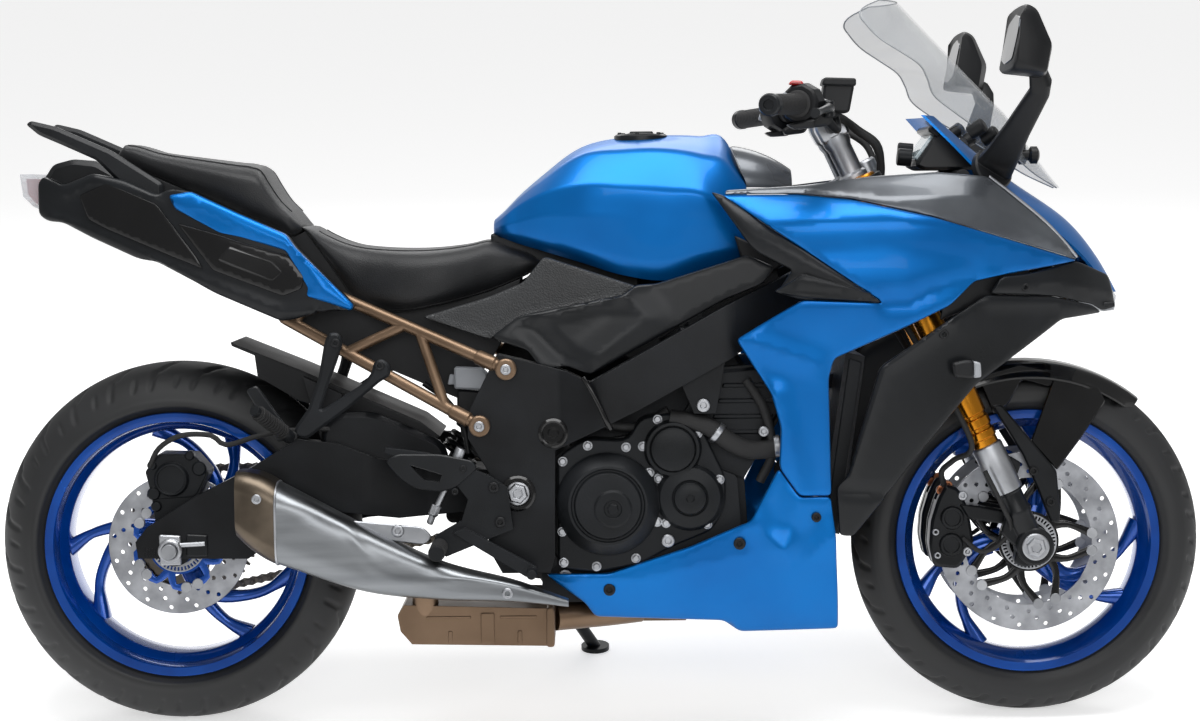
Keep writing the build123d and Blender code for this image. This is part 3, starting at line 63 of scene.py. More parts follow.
class Shape:
    """Vertices in millimetres and faces, gathered for one piece."""

    def __init__(self):
        self.verts = []
        self.faces = []

    def add(self, part, mirror=False):
        """Takes in a mesh, with its mirror image on the other side if asked."""
        verts, faces = part
        base = len(self.verts)
        self.verts.extend(tuple(v) for v in verts)
        self.faces.extend(tuple(i + base for i in face) for face in faces)
        if mirror:
            base = len(self.verts)
            self.verts.extend((v[0], -v[1], v[2]) for v in verts)
            self.faces.extend(tuple(i + base for i in reversed(face)) for face in faces)
        return self

    def pair(self, part):
        """Takes in a mesh of the right side and its mirror image."""
        return self.add(part, True)

    def piece(self, name, body, material, sharp=30):
        """The finished object, riding on a body, with edges over the sharp angle left hard."""
        points = np.array(self.verts, float)
        placed = points @ PARK_ARRAY[:3, :3].T + PARK_ARRAY[:3, 3]
        mesh = bpy.data.meshes.new(name)
        mesh.from_pydata(placed.tolist(), [], self.faces)
        mesh.validate()
        mesh.materials.append(material)
        mesh.shade_smooth()
        mesh.set_sharp_from_angle(angle=math.radians(sharp))
        made = bpy.data.objects.new(name, mesh)
        bpy.context.scene.collection.objects.link(made)
        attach(made, body)
        return made


def one(part, name, body, material, mirror=False, sharp=30):
    """A piece made of one mesh."""
    return Shape().add(part, mirror).piece(name, body, material, sharp)


def joined(*parts):
    """Several meshes as one."""
    made = Shape()
    for part in parts:
        made.add(part)
    return made.verts, made.faces


def walls(rings, count):
    """Faces between rings of points that follow one another."""
    faces = []
    for level in range(rings - 1):
        for i in range(count):
            j = (i + 1) % count
            faces.append((level * count + i, level * count + j, (level + 1) * count + j,
                          (level + 1) * count + i))
    return faces


def ends(rings, count):
    """The two faces that close a stack of rings."""
    last = (rings - 1) * count
    return [tuple(reversed(range(count))), tuple(range(last, last + count))]


def frame_of(axis):
    """Two unit vectors across an axis."""
    axis = Vector(axis).normalized()
    side = axis.orthogonal().normalized()
    return axis, side, axis.cross(side)


def lathe(profile, centre, axis, turns=48):
    """A solid of revolution through (radius, along) points, from one end to the other."""
    axis, side, other = frame_of(axis)
    centre = Vector(centre)
    verts = []
    for radius, along in profile:
        for turn in range(turns):
            angle = 2 * math.pi * turn / turns
            verts.append(centre + axis * along + (side * math.cos(angle) + other * math.sin(angle)) * radius)
    faces = walls(len(profile), turns)
    if profile[0] != profile[-1]:
        faces += ends(len(profile), turns)
    return verts, faces


def smooth_path(points, step):
    """Points along a Catmull-Rom line through the given ones."""
    points = [Vector(p) for p in points]
    ends = [points[0] * 2 - points[1], *points, points[-1] * 2 - points[-2]]
    path = []
    for i in range(1, len(ends) - 2):
        a, b, c, d = ends[i - 1:i + 3]
        count = max(2, int((c - b).length / step))
        for k in range(count):
            t = k / count
            path.append(0.5 * (2 * b + (c - a) * t + (2 * a - 5 * b + 4 * c - d) * t * t
                               + (3 * b - a - 3 * c + d) * t * t * t))
    path.append(points[-1])
    return path


def tube(points, radius, step=8, sides=14, smooth=True):
    """A round bar along a line; radius may be one size or several spread along it."""
    path = smooth_path(points, step) if smooth else [Vector(p) for p in points]
    lengths = np.cumsum([0] + [(path[i + 1] - path[i]).length for i in range(len(path) - 1)])
    if isinstance(radius, (int, float)):
        radii = [radius] * len(path)
    else:
        at = np.linspace(0, lengths[-1], len(radius))
        radii = np.interp(lengths, at, radius)
    verts = []
    side = (path[1] - path[0]).orthogonal().normalized()
    for i, place in enumerate(path):
        ahead = path[min(i + 1, len(path) - 1)] - path[max(i - 1, 0)]
        side = (side - ahead * (side.dot(ahead) / ahead.length_squared)).normalized()
        other = ahead.normalized().cross(side)
        for turn in range(sides):
            angle = 2 * math.pi * turn / sides
            verts.append(place + (side * math.cos(angle) + other * math.sin(angle)) * radii[i])
    return verts, walls(len(path), sides) + ends(len(path), sides)


def rounded(points, radius):
    """A flat outline with each corner replaced by a short curve."""
    points = [np.array(p, float) for p in points]
    made = []
    for i, corner in enumerate(points):
        before, after = points[i - 1] - corner, points[(i + 1) % len(points)] - corner
        cut = min(radius, np.linalg.norm(before) * 0.45, np.linalg.norm(after) * 0.45)
        start = corner + before / np.linalg.norm(before) * cut
        end = corner + after / np.linalg.norm(after) * cut
        for t in (0, 0.33, 0.67, 1):
            made.append(start * (1 - t) ** 2 + corner * 2 * t * (1 - t) + end * t * t)
    return made


def resample(points, step, closed=True):
    """Points spaced evenly along a flat outline, keeping its corners."""
    made = []
    count = len(points)
    for i in range(count if closed else count - 1):
        a, b = np.array(points[i], float), np.array(points[(i + 1) % count], float)
        parts = max(1, int(np.linalg.norm(b - a) / step))
        made.extend(a + (b - a) * k / parts for k in range(parts))
    if not closed:
        made.append(np.array(points[-1], float))
    return made


def signed_area(loop):
    array = np.array(loop)
    x, z = array[:, 0], array[:, 1]
    return 0.5 * np.sum(x * np.roll(z, -1) - z * np.roll(x, -1))


def inset(loop, amount):
    """The outline moved inward along its corner normals."""
    loop = np.array(loop, float)
    if signed_area(loop) < 0:
        loop = loop[::-1]
    ahead = np.roll(loop, -1, 0) - loop
    ahead /= np.linalg.norm(ahead, axis=1)[:, None] + 1e-9
    normal = np.stack([-ahead[:, 1], ahead[:, 0]], 1)
    both = normal + np.roll(normal, 1, 0)
    both /= np.maximum(np.sum(both * normal, 1), 0.6)[:, None]
    return loop + both * amount


def distance_to(points, line, closed):
    """The distance of each flat point from a line of straight runs."""
    points = np.array(points, float)
    line = np.array(line, float)
    starts = line if closed else line[:-1]
    ends = np.roll(line, -1, 0) if closed else line[1:]
    best = np.full(len(points), 1e9)
    for a, b in zip(starts, ends):
        run = b - a
        share = np.clip((points - a) @ run / max(run @ run, 1e-9), 0, 1)
        best = np.minimum(best, np.linalg.norm(points - a - share[:, None] * run, axis=1))
    return best


def inside(points, loop):
    """Which flat points lie inside an outline."""
    points = np.array(points, float)
    loop = np.array(loop, float)
    hit = np.zeros(len(points), bool)
    for a, b in zip(loop, np.roll(loop, -1, 0)):
        crosses = (a[1] > points[:, 1]) != (b[1] > points[:, 1])
        rise = b[1] - a[1] if b[1] != a[1] else 1e-9
        hit ^= crosses & (points[:, 0] < (b[0] - a[0]) * (points[:, 1] - a[1]) / rise + a[0])
    return hit


def fill(loop, holes=(), extra=(), lines=()):
    """Triangles that fill an outline with holes, through extra points and along inner lines."""
    verts, edges = [], []
    for ring in (loop, *holes):
        base = len(verts)
        verts.extend(Vector(p) for p in ring)
        edges.extend((base + i, base + (i + 1) % len(ring)) for i in range(len(ring)))
    for line in lines:
        base = len(verts)
        verts.extend(Vector(p) for p in line)
        edges.extend((base + i, base + i + 1) for i in range(len(line) - 1))
    verts.extend(Vector(p) for p in extra)
    points, _, faces, *_ = delaunay_2d_cdt(verts, edges, [], 1, 1e-4)
    flat = np.array([tuple(p) for p in points])
    faces = [tuple(face) for face in faces]
    if holes:
        middles = np.array([flat[list(face)].mean(0) for face in faces])
        keep = np.ones(len(faces), bool)
        for hole in holes:
            keep &= ~inside(middles, hole)
        faces = [face for face, kept in zip(faces, keep) if kept]
    return flat, faces


def rims(faces):
    """The open border edges of a surface, in its faces' own direction."""
    seen = {}
    for face in faces:
        for i in range(len(face)):
            a, b = face[i], face[(i + 1) % len(face)]
            seen[(a, b)] = True
    return [edge for edge in seen if (edge[1], edge[0]) not in seen]


def right_side(u, v, w):
    """Places a side-view outline: u is x, v is z, w is the distance to the right of the middle."""
    return np.stack([u, -w, v], 1)


def sheet(outline, depth, step=10, roll=4, wall=5, corner=8, creases=(), place=right_side):
    """A panel with a side-view outline on a curved surface, with a rolled edge and a wall.

    depth gives the distance from the middle at flat points; creases are (line, height, width) folds.
    """
    loop = resample(rounded(outline, corner), step)
    if signed_area(loop) < 0:
        loop = loop[::-1]
    loop = np.array(loop)
    low, high = loop.min(0), loop.max(0)
    grid = np.stack(np.meshgrid(np.arange(low[0], high[0], step), np.arange(low[1], high[1], step)),
                    -1).reshape(-1, 2)
    lines = [np.array(resample(line, step * 0.7, False)) for line, _, _ in creases]
    rings = [inset(loop, roll * share) for share in (0.3, 1.0)]
    extra = []
    for ring, share in zip(rings, (0.3, 1.0)):
        far = distance_to(ring, loop, True) > roll * share * 0.85
        extra.append(ring[far & inside(ring, loop)])
    kept = grid[inside(grid, loop)]
    kept = kept[distance_to(kept, loop, True) > roll + step * 0.4]
    for line in lines:
        kept = kept[distance_to(kept, line, False) > step * 0.35]
    extra.append(kept)
    flat, faces = fill(loop, (), np.concatenate(extra), lines)
    edge = np.minimum(distance_to(flat, loop, True), roll)
    out = depth(flat[:, 0], flat[:, 1]) - (roll - np.sqrt(np.maximum(roll**2 - (roll - edge) ** 2, 0)))
    for line, height, width in creases:
        out = out + height * np.clip(1 - distance_to(flat, line, False) / width, 0, 1)
    verts = place(flat[:, 0], flat[:, 1], out).tolist()
    back = len(verts)
    verts += place(flat[:, 0], flat[:, 1], out - wall).tolist()
    hidden = [tuple(back + i for i in reversed(face)) for face in faces]
    joins = [(b, a, back + a, back + b) for a, b in rims(faces)]
    return verts, faces + hidden + joins


def slab(outline, inner, outer, bevel=2, corner=3, step=12, holes=(), place=right_side):
    """A plate with bevelled edges between two distances from the middle."""
    loop = resample(rounded(outline, corner), step) if corner else resample(outline, step)
    if signed_area(loop) < 0:
        loop = loop[::-1]
    loop = np.array(loop)
    small = inset(loop, bevel)
    rings = [(small, inner), (loop, inner + bevel), (loop, outer - bevel), (small, outer)]
    verts = []

    def lay(flat, depth):
        verts.extend(place(flat[:, 0], flat[:, 1], np.full(len(flat), float(depth))).tolist())

    for ring, depth in rings:
        lay(ring, depth)
    faces = walls(len(rings), len(loop))
    flat, caps = fill(small, holes)
    for depth, turn in ((inner, -1), (outer, 1)):
        base = len(verts)
        lay(flat, depth)
        faces.extend(tuple(base + i for i in face[::turn]) for face in caps)
    for hole in holes:
        base = len(verts)
        for depth in (inner, outer):
            lay(np.array(hole), depth)
        n = len(hole)
        faces.extend((base + (i + 1) % n, base + i, base + n + i, base + n + (i + 1) % n) for i in range(n))
    return verts, faces


def circle(centre, radius, count):
    """A flat ring of points."""
    return [(centre[0] + radius * math.cos(2 * math.pi * i / count),
             centre[1] + radius * math.sin(2 * math.pi * i / count)) for i in range(count)]


def squared(angle, power):
    """A point of a rounded square of half-width 1, by its angle; a lower power is squarer."""
    c, s = math.cos(angle), math.sin(angle)
    return math.copysign(abs(c) ** power, c), math.copysign(abs(s) ** power, s)


def hermite(t, gap, start, end, start_slope, end_slope):
    """A smooth value between two known ones, from their slopes."""
    return ((1 + 2 * t) * (1 - t) ** 2 * start + t * (1 - t) ** 2 * gap * start_slope
            + t * t * (3 - 2 * t) * end + t * t * (t - 1) * gap * end_slope)


def curve(xs, ys):
    """A smooth line through known values, as a function."""
    xs, ys = np.array(xs, float), np.array(ys, float)
    slopes = np.gradient(ys, xs)

    def value(x):
        x = np.clip(np.asarray(x, float), xs[0], xs[-1])
        i = np.clip(np.searchsorted(xs, x) - 1, 0, len(xs) - 2)
        gap = xs[i + 1] - xs[i]
        t = (x - xs[i]) / gap
        return hermite(t, gap, ys[i], ys[i + 1], slopes[i], slopes[i + 1])

    return value


def loft(sections):
    """A closed skin through rings of points of equal count."""
    count = len(sections[0])
    verts = [tuple(p) for ring in sections for p in ring]
    return verts, walls(len(sections), count) + ends(len(sections), count)


# Materials


def tone(colour):
    """A 0 to 255 colour as the renderer's linear one."""
    linear = [c / 255 / 12.92 if c <= 10 else ((c / 255 + 0.055) / 1.055) ** 2.4 for c in colour]
    return (*linear, 1.0)


def finish(name, dark, light, rough, metal=0.0, coat=0.0, patch=9.0, grain=900.0, bump=0.02,
           stretch=(1, 1, 1), edge=0.0, cells=False, spread=0.12, sheen=0.0, shine=0.5):
    """A finish with patchy colour, uneven gloss and a fine surface grain; edge rounds hard corners."""
    made = bpy.data.materials.new(name)
    made.use_nodes = True
    nodes, links = made.node_tree.nodes, made.node_tree.links
    shader = nodes["Principled BSDF"]
    shader.inputs["Metallic"].default_value = metal
    shader.inputs["Coat Weight"].default_value = coat
    shader.inputs["Coat Roughness"].default_value = 0.04
    shader.inputs["Sheen Weight"].default_value = sheen
    shader.inputs["Specular IOR Level"].default_value = shine
    where = nodes.new("ShaderNodeTexCoord")
    scale = nodes.new("ShaderNodeMapping")
    scale.inputs["Scale"].default_value = stretch
    links.new(where.outputs["Object"], scale.inputs["Vector"])
    large = nodes.new("ShaderNodeTexNoise")
    large.inputs["Scale"].default_value = patch
    large.inputs["Detail"].default_value = 4
    links.new(scale.outputs["Vector"], large.inputs["Vector"])
    ramp = nodes.new("ShaderNodeValToRGB")
    ramp.color_ramp.elements[0].color = tone(dark)
    ramp.color_ramp.elements[0].position = 0.32
    ramp.color_ramp.elements[1].color = tone(light)
    ramp.color_ramp.elements[1].position = 0.68
    links.new(large.outputs["Fac"], ramp.inputs["Fac"])
    links.new(ramp.outputs["Color"], shader.inputs["Base Color"])
    fine = nodes.new("ShaderNodeTexVoronoi" if cells else "ShaderNodeTexNoise")
    fine.inputs["Scale"].default_value = grain
    links.new(scale.outputs["Vector"], fine.inputs["Vector"])
    value = fine.outputs["Distance"] if cells else fine.outputs["Fac"]
    gloss = nodes.new("ShaderNodeMapRange")
    gloss.inputs["To Min"].default_value = max(0.02, rough - spread)
    gloss.inputs["To Max"].default_value = min(1.0, rough + spread)
    links.new(large.outputs["Fac"], gloss.inputs["Value"])
    links.new(gloss.outputs["Result"], shader.inputs["Roughness"])
    relief = nodes.new("ShaderNodeBump")
    relief.inputs["Strength"].default_value = bump
    relief.inputs["Distance"].default_value = 0.001
    links.new(value, relief.inputs["Height"])
    if edge:
        corner = nodes.new("ShaderNodeBevel")
        corner.samples = 4
        corner.inputs["Radius"].default_value = edge
        links.new(corner.outputs["Normal"], relief.inputs["Normal"])
    links.new(relief.outputs["Normal"], shader.inputs["Normal"])
    return made


ROUND = 0.002
BLUE = finish("blue_paint", (0, 93, 166), (0, 105, 181), 0.34, metal=0.6, coat=0.12, patch=5, grain=1500,
              bump=0.01, shine=0.2)
RIM_BLUE = finish("rim_blue", (0, 62, 146), (0, 78, 172), 0.24, metal=0.5, coat=0.6, grain=1200, bump=0.01,
                  shine=0.3)
BLACK = finish("black_plastic", (16, 17, 19), (24, 25, 27), 0.45, grain=1100, bump=0.12, edge=ROUND,
               shine=0.25)
SATIN = finish("satin_black", (17, 19, 21), (25, 27, 30), 0.32, grain=1400, bump=0.05, edge=ROUND, shine=0.25)
GLOSS = finish("gloss_black", (5, 5, 6), (9, 9, 10), 0.2, coat=0.3, grain=800, bump=0.01, edge=ROUND,
               shine=0.25)
CAST = finish("cast_black", (19, 21, 23), (29, 31, 34), 0.42, metal=0.3, grain=420, bump=0.25, edge=ROUND,
              shine=0.25)
FRAME_BLACK = finish("frame_black", (18, 19, 21), (26, 28, 31), 0.34, metal=0.2, grain=520, bump=0.15,
                     edge=ROUND, shine=0.25)
# Painted highlight: the panel colour is lifted toward the bright highlight along the panels' tops, so it is
# partly their own dark grey and partly painted highlight
GREY_TOP_WITH_HIGHLIGHT = finish("gunmetal_and_highlight_panel", (74, 77, 82), (90, 94, 99), 0.3, metal=0.5, coat=0.3, grain=1500,
                  bump=0.02, edge=ROUND)
RUBBER = finish("tyre_rubber", (19, 20, 21), (29, 30, 32), 0.6, grain=700, bump=0.12)
GRIP = finish("grip_rubber", (15, 15, 16), (23, 23, 24), 0.7, grain=600, bump=0.3)
SILVER = finish("machined_silver", (150, 152, 156), (182, 184, 188), 0.4, metal=1.0, grain=300, bump=0.05,
                stretch=(1, 6, 1), edge=ROUND)
STEEL = finish("brushed_steel", (112, 115, 118), (138, 141, 144), 0.34, metal=1.0, grain=260, bump=0.03,
               stretch=(0.6, 8, 8), patch=4)
DISC_STEEL = finish("disc_steel", (146, 148, 153), (178, 180, 185), 0.36, metal=1.0, grain=500, bump=0.05,
                    patch=30)
TITAN = finish("titanium_cap", (82, 74, 65), (106, 96, 84), 0.36, metal=1.0, grain=500, bump=0.05, patch=16,
               edge=ROUND)
BRONZE = finish("bronze_tube", (106, 86, 68), (126, 104, 84), 0.38, metal=0.75, grain=700, bump=0.04,
                edge=ROUND)
GOLD = finish("gold_anodised", (184, 118, 30), (208, 140, 44), 0.26, metal=1.0, grain=700, bump=0.02,
              edge=ROUND)
VINYL = finish("seat_vinyl", (19, 20, 22), (28, 29, 31), 0.46, grain=520, bump=0.3, cells=True, sheen=0.06,
               shine=0.3)
TEXTURED = finish("knurled_black", (26, 27, 29), (38, 40, 42), 0.5, grain=330, bump=0.9, cells=True)
CHAIN = finish("chain_steel", (92, 86, 78), (130, 124, 114), 0.38, metal=1.0, grain=300, bump=0.1, edge=ROUND)
RED = finish("red_switch", (150, 12, 12), (184, 20, 18), 0.35, coat=0.3)
CORE = finish("radiator_core", (30, 31, 33), (44, 45, 48), 0.5, metal=0.5, grain=220, bump=0.6,
              stretch=(1, 1, 14))


def glass(name, colour, rough, alpha, coat=0.0):
    """A clear moulded sheet: tinted, partly see-through and glossy, with faint waviness."""
    made = finish(name, colour, colour, rough, coat=coat, grain=60, bump=0.01, spread=0.03)
    shader = made.node_tree.nodes["Principled BSDF"]
    shader.inputs["Alpha"].default_value = alpha
    shader.inputs["IOR"].default_value = 1.49
    return made


SCREEN_CLEAR = glass("screen_acrylic", (140, 145, 150), 0.06, 0.22, coat=0.3)
LAMP_CLEAR = glass("lamp_lens", (214, 218, 224), 0.08, 0.55, coat=0.6)
DISPLAY = finish("display", (150, 168, 176), (196, 210, 214), 0.2, coat=0.8, patch=60, bump=0.0)
MIRROR = finish("mirror_glass", (58, 61, 65), (66, 69, 73), 0.04, metal=1.0, bump=0.0, spread=0.02)

NODE_FINISHES = {
    "front_tyre": RUBBER, "rear_tyre": RUBBER, "front_rim": RIM_BLUE, "rear_rim": RIM_BLUE,
    "front_discs": DISC_STEEL, "rear_disc": DISC_STEEL, "rear_sprocket": CHAIN, "chain": CHAIN,
    "fork_tubes": GOLD, "fork_sliders": SILVER, "yokes": SATIN, "handlebar": SATIN, "controls": BLACK,
    "front_fender": GLOSS, "front_calipers": GLOSS, "front_axle": SILVER, "rear_axle": SILVER,
    "side_stand": FRAME_BLACK, "main_frame": FRAME_BLACK, "swingarm": FRAME_BLACK, "rear_caliper": CAST,
    "hugger": BLACK, "rear_shock": CAST, "engine_block": CAST, "engine_covers": CAST, "radiator": CORE,
    "exhaust_headers": BRONZE, "exhaust_chamber": BRONZE, "muffler": STEEL, "muffler_cap": TITAN,
    "subframe": BRONZE, "seat_tray": BLACK, "tail_cowl": SATIN, "tail_stripes": BLUE,
    "tail_lamp": LAMP_CLEAR, "rider_seat": VINYL, "pillion_seat": VINYL, "grab_rails": SATIN,
    "fuel_tank": BLUE, "side_covers": TEXTURED, "knee_panels": SATIN, "fairing_sides": BLUE,
    "lower_cowls": BLUE, "fork_panels": SATIN, "lamp_surround": SATIN, "top_covers": GREY_TOP_WITH_HIGHLIGHT,
    "nose_cowl": BLUE, "windscreen": SCREEN_CLEAR, "headlamp": LAMP_CLEAR, "tank_front_cover": GREY_TOP_WITH_HIGHLIGHT,
    "fairing_inserts": SATIN, "front_indicators": LAMP_CLEAR, "fairing_stay": BLACK, "dash": BLACK,
    "mirrors": SATIN, "rider_footrests": CAST, "pillion_footrests": CAST,
}
for node, kind in NODE_FINISHES.items():
    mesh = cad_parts[node].data
    mesh.materials.clear()
    mesh.materials.append(kind)

# Fairing panels on the same curved wall as the solids

FAIRING_STATIONS = (-120, 150, 400, 650, 800, 900)
FAIRING_LEVELS = {
    150: (112, 130, 140, 122, 92, 60),
    220: (150, 170, 180, 155, 108, 60),
    300: (165, 188, 198, 175, 120, 60),
    450: (185, 208, 220, 195, 130, 60),
    620: (190, 218, 240, 208, 138, 60),
    780: (190, 222, 262, 215, 132, 40),
    870: (180, 205, 246, 200, 115, 30),
    940: (150, 165, 180, 165, 95, 25),
}


def surface(stations, levels):
    """The distance from the middle over the side view, from half-widths at stations and levels."""
    heights = np.array(sorted(levels), float)
    rows = [curve(stations, levels[level]) for level in sorted(levels)]

    def depth(x, z):
        table = np.stack([row(x) for row in rows])
        slopes = np.gradient(table, heights, axis=0)
        z = np.clip(z, heights[0], heights[-1])
        i = np.clip(np.searchsorted(heights, z) - 1, 0, len(heights) - 2)
        gap = heights[i + 1] - heights[i]
        t = (z - heights[i]) / gap
        n = np.arange(len(z))
        return hermite(t, gap, table[i, n], table[i + 1, n], slopes[i, n], slopes[i + 1, n])

    return depth


fairing = surface(FAIRING_STATIONS, FAIRING_LEVELS)


def lifted(depth, amount):
    """A surface moved outward by a fixed amount."""
    return lambda x, z: depth(x, z) + amount


def leaned(base, slope_x=0.0, slope_z=0.0, at=(0, 0)):
    """A flat surface at a distance from the middle, with slopes along x and z."""
    return lambda x, z: base + slope_x * (x - at[0]) + slope_z * (z - at[1])


SIDE_TOP = [(200, 899), (329, 899), (411, 890), (543, 860), (798, 784)]
SIDE_OUTLINE = [
    *SIDE_TOP, (658, 763), (612, 754), (570, 715), (500, 682), (380, 630), (371, 598), (377, 401), (324, 401),
    (291, 448), (293, 516), (277, 573), (220, 662), (327, 727), (459, 721), (263, 855),
]
SIDE_CREASES = [
    ([(275, 850), (461, 862), (581, 838), (770, 789)], 9, 46),
    ([(466, 722), (506, 724), (540, 741), (614, 759)], -6, 26),
    ([(226, 664), (352, 622), (360, 590), (364, 410)], 5, 30),
    ([(286, 570), (304, 505), (326, 408)], 7, 30),
]
LOWER_OUTLINE = [
    (376, 399), (324, 399), (290, 447), (244, 358), (143, 314), (9, 269), (-99, 267), (-33, 216),
    (-16, 191), (200, 184), (228, 163), (393, 168), (385, 332),
]
LOWER_CREASES = [
    ([(324, 396), (299, 310), (254, 352)], 6, 34),
    ([(299, 310), (308, 263), (378, 330)], 8, 40),
    ([(-60, 262), (60, 258), (240, 300), (299, 310)], 5, 40),
]
FORK_OUTLINE = [
    (455, 615), (572, 694), (632, 731), (753, 725), (827, 708), (846, 695), (768, 687), (678, 626),
    (617, 584), (527, 478), (460, 389), (414, 331), (391, 333), (386, 415), (402, 432),
]
FORK_CREASES = [
    ([(407, 432), (463, 612), (572, 688)], 6, 14),
    ([(396, 410), (480, 402)], -4, 16),
    ([(640, 722), (760, 716), (836, 700)], 4, 18),
]
SURROUND_OUTLINE = [
    (638, 733), (658, 761), (700, 764), (798, 783), (862, 757), (876, 700), (848, 695), (827, 709),
    (753, 726),
]
SURROUND_CREASES = [([(650, 745), (760, 752), (866, 728)], 5, 20)]
TOP_OUTLINE = [
    (799, 785), (543, 861), (411, 891), (329, 900), (204, 900), (207, 907), (332, 914), (449, 928),
    (557, 934), (641, 926), (752, 842),
]
TOP_CREASES = [([(339, 905), (480, 890), (606, 893), (778, 806)], 6, 22)]

for node, outline, creases, kind, rise in (
    ("fairing_sides", SIDE_OUTLINE, SIDE_CREASES, BLUE, 0.6),
    ("lower_cowls", LOWER_OUTLINE, LOWER_CREASES, BLUE, 0.6),
    ("fork_panels", FORK_OUTLINE, FORK_CREASES, SATIN, 0.4),
    ("lamp_surround", SURROUND_OUTLINE, SURROUND_CREASES, SATIN, 0.4),
    ("top_covers", TOP_OUTLINE, TOP_CREASES, GREY_TOP_WITH_HIGHLIGHT, 0.4),
):
    panel = one(sheet(outline, lifted(fairing, rise), creases=creases), node + "_skin", "chassis", kind,
                mirror=True, sharp=40)
    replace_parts(panel, node)

# Knee panels over the spars, and the textured covers behind the tank

KNEE_OUTLINE = [
    (57, 752), (90, 753), (243, 800), (288, 779), (267, 752), (204, 726), (-21, 603), (-60, 618),
    (-103, 612), (-124, 644), (-174, 661), (-184, 668), (-138, 702), (36, 736),
]
KNEE_CREASES = [
    ([(38, 733), (76, 697), (-31, 618)], 8, 40),
    ([(-130, 694), (38, 733)], 4, 14),
    ([(-124, 690), (-69, 635), (-31, 618)], -7, 26),
]
knee = one(sheet(KNEE_OUTLINE, leaned(183, 0.02, -0.04, (60, 690)), wall=16, creases=KNEE_CREASES),
           "knee_panel_skins", "chassis", SATIN, mirror=True, sharp=40)
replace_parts(knee, "knee_panels")

SIDE_COVER_OUTLINE = [
    (-96, 800), (60, 748), (32, 727), (-138, 694), (-186, 661), (-300, 701), (-189, 733), (-132, 756),
]
COVER_RIB = [(-292, 699), (-188, 664), (-136, 699), (34, 732)]
cover = one(sheet(SIDE_COVER_OUTLINE, leaned(160, 0.03, -0.05, (-100, 730)), step=7, wall=18,
                  creases=[(COVER_RIB, 3, 8)]), "side_cover_skins", "chassis", TEXTURED, mirror=True,
            sharp=40)
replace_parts(cover, "side_covers")

# Fuel tank: rings of points across it, from the tail to the front

TANK_STATIONS = (-183, -170, -140, -100, -40, 40, 110, 170, 215, 246)
TANK_RINGS = [
    # (half-width, height) from the lower edge to the middle of the top, a ring for each station
    [(40, 833), (52, 838), (58, 846), (52, 853), (38, 858), (0, 861)],
    [(58, 830), (78, 838), (84, 850), (76, 862), (52, 868), (0, 872)],
    [(80, 820), (100, 834), (106, 858), (96, 884), (66, 896), (0, 902)],
    [(98, 808), (120, 826), (128, 868), (122, 904), (86, 926), (0, 936)],
    [(118, 790), (138, 812), (148, 868), (146, 918), (100, 966), (0, 980)],
    [(136, 766), (150, 796), (158, 866), (160, 914), (112, 976), (0, 1000)],
    [(142, 758), (154, 792), (160, 850), (163, 908), (116, 976), (0, 1003)],
    [(136, 774), (150, 804), (156, 848), (160, 902), (112, 966), (0, 1001)],
    [(130, 786), (142, 808), (146, 838), (146, 880), (104, 950), (0, 994)],
    [(122, 796), (130, 808), (132, 830), (130, 870), (96, 914), (0, 932)],
]
AROUND = np.linspace(0, 5, 41)
TANK_FOLD = 0.75
TANK_STEPS = np.concatenate([np.linspace(-183, -140, 12), np.linspace(-132, 215, 48),
                             np.linspace(220, 246, 8)])


def tank_half(points, step):
    """The right half of a tank ring, from its lower edge to the top, folded at its points."""
    flat = np.array(points)
    smooth = [curve(range(6), flat[:, axis])(AROUND) for axis in (0, 1)]
    folded = [np.interp(AROUND, range(6), flat[:, axis]) for axis in (0, 1)]
    fold = np.interp(AROUND, (0, 1, 2, 4, 5), (0, 0.4, TANK_FOLD, TANK_FOLD, 0))
    wide, high = (f * fold + s * (1 - fold) for f, s in zip(folded, smooth))
    return np.stack([np.full(len(AROUND), step), -wide, high], 1)


ring_table = np.array(TANK_RINGS, float)
tank_sections = []
for along in TANK_STEPS:
    ring = [[curve(TANK_STATIONS, ring_table[:, k, axis])(along) for axis in (0, 1)] for k in range(6)]
    half = tank_half(ring, along)
    tank_sections.append(np.concatenate([half, half[-2::-1] * (1, -1, 1)]))
tank = one(loft(tank_sections), "fuel_tank_skin", "chassis", BLUE, sharp=50)
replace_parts(tank, "fuel_tank")

# Seats: vinyl pulled over moulded foam, with a welt along the lower edge and sewn seams


def pad(stations, tops, bases, widths, lengths, shoulder):
    """A crowned pad from its top and lower lines and its half-widths, as rings along its length."""
    top, base, wide = curve(stations, tops), curve(stations, bases), curve(stations, widths)
    across = [(0.84, 0.0), (0.95, 0.16), (1.0, 0.45), (0.955, 0.74), (shoulder, 0.93),
              (shoulder * 0.55, 0.985), (0, 1.0)]
    flat = np.array(across)
    ring_at = np.linspace(0, len(across) - 1, 31)
    share_wide = curve(range(len(across)), flat[:, 0])(ring_at)
    share_high = curve(range(len(across)), flat[:, 1])(ring_at)
    rings = []
    for along in lengths:
        low, high = base(along), top(along)
        half = np.stack([np.full(len(ring_at), along), -share_wide * wide(along),
                         low + share_high * (high - low)], 1)
        rings.append(np.concatenate([half, half[-2::-1] * (1, -1, 1)]))
    return rings


def seam(rings, index, radius):
    """A sewn line along a pad, at one place of its rings."""
    line = [Vector(ring[index]) for ring in rings]
    return tube(line, radius, step=12, sides=8)


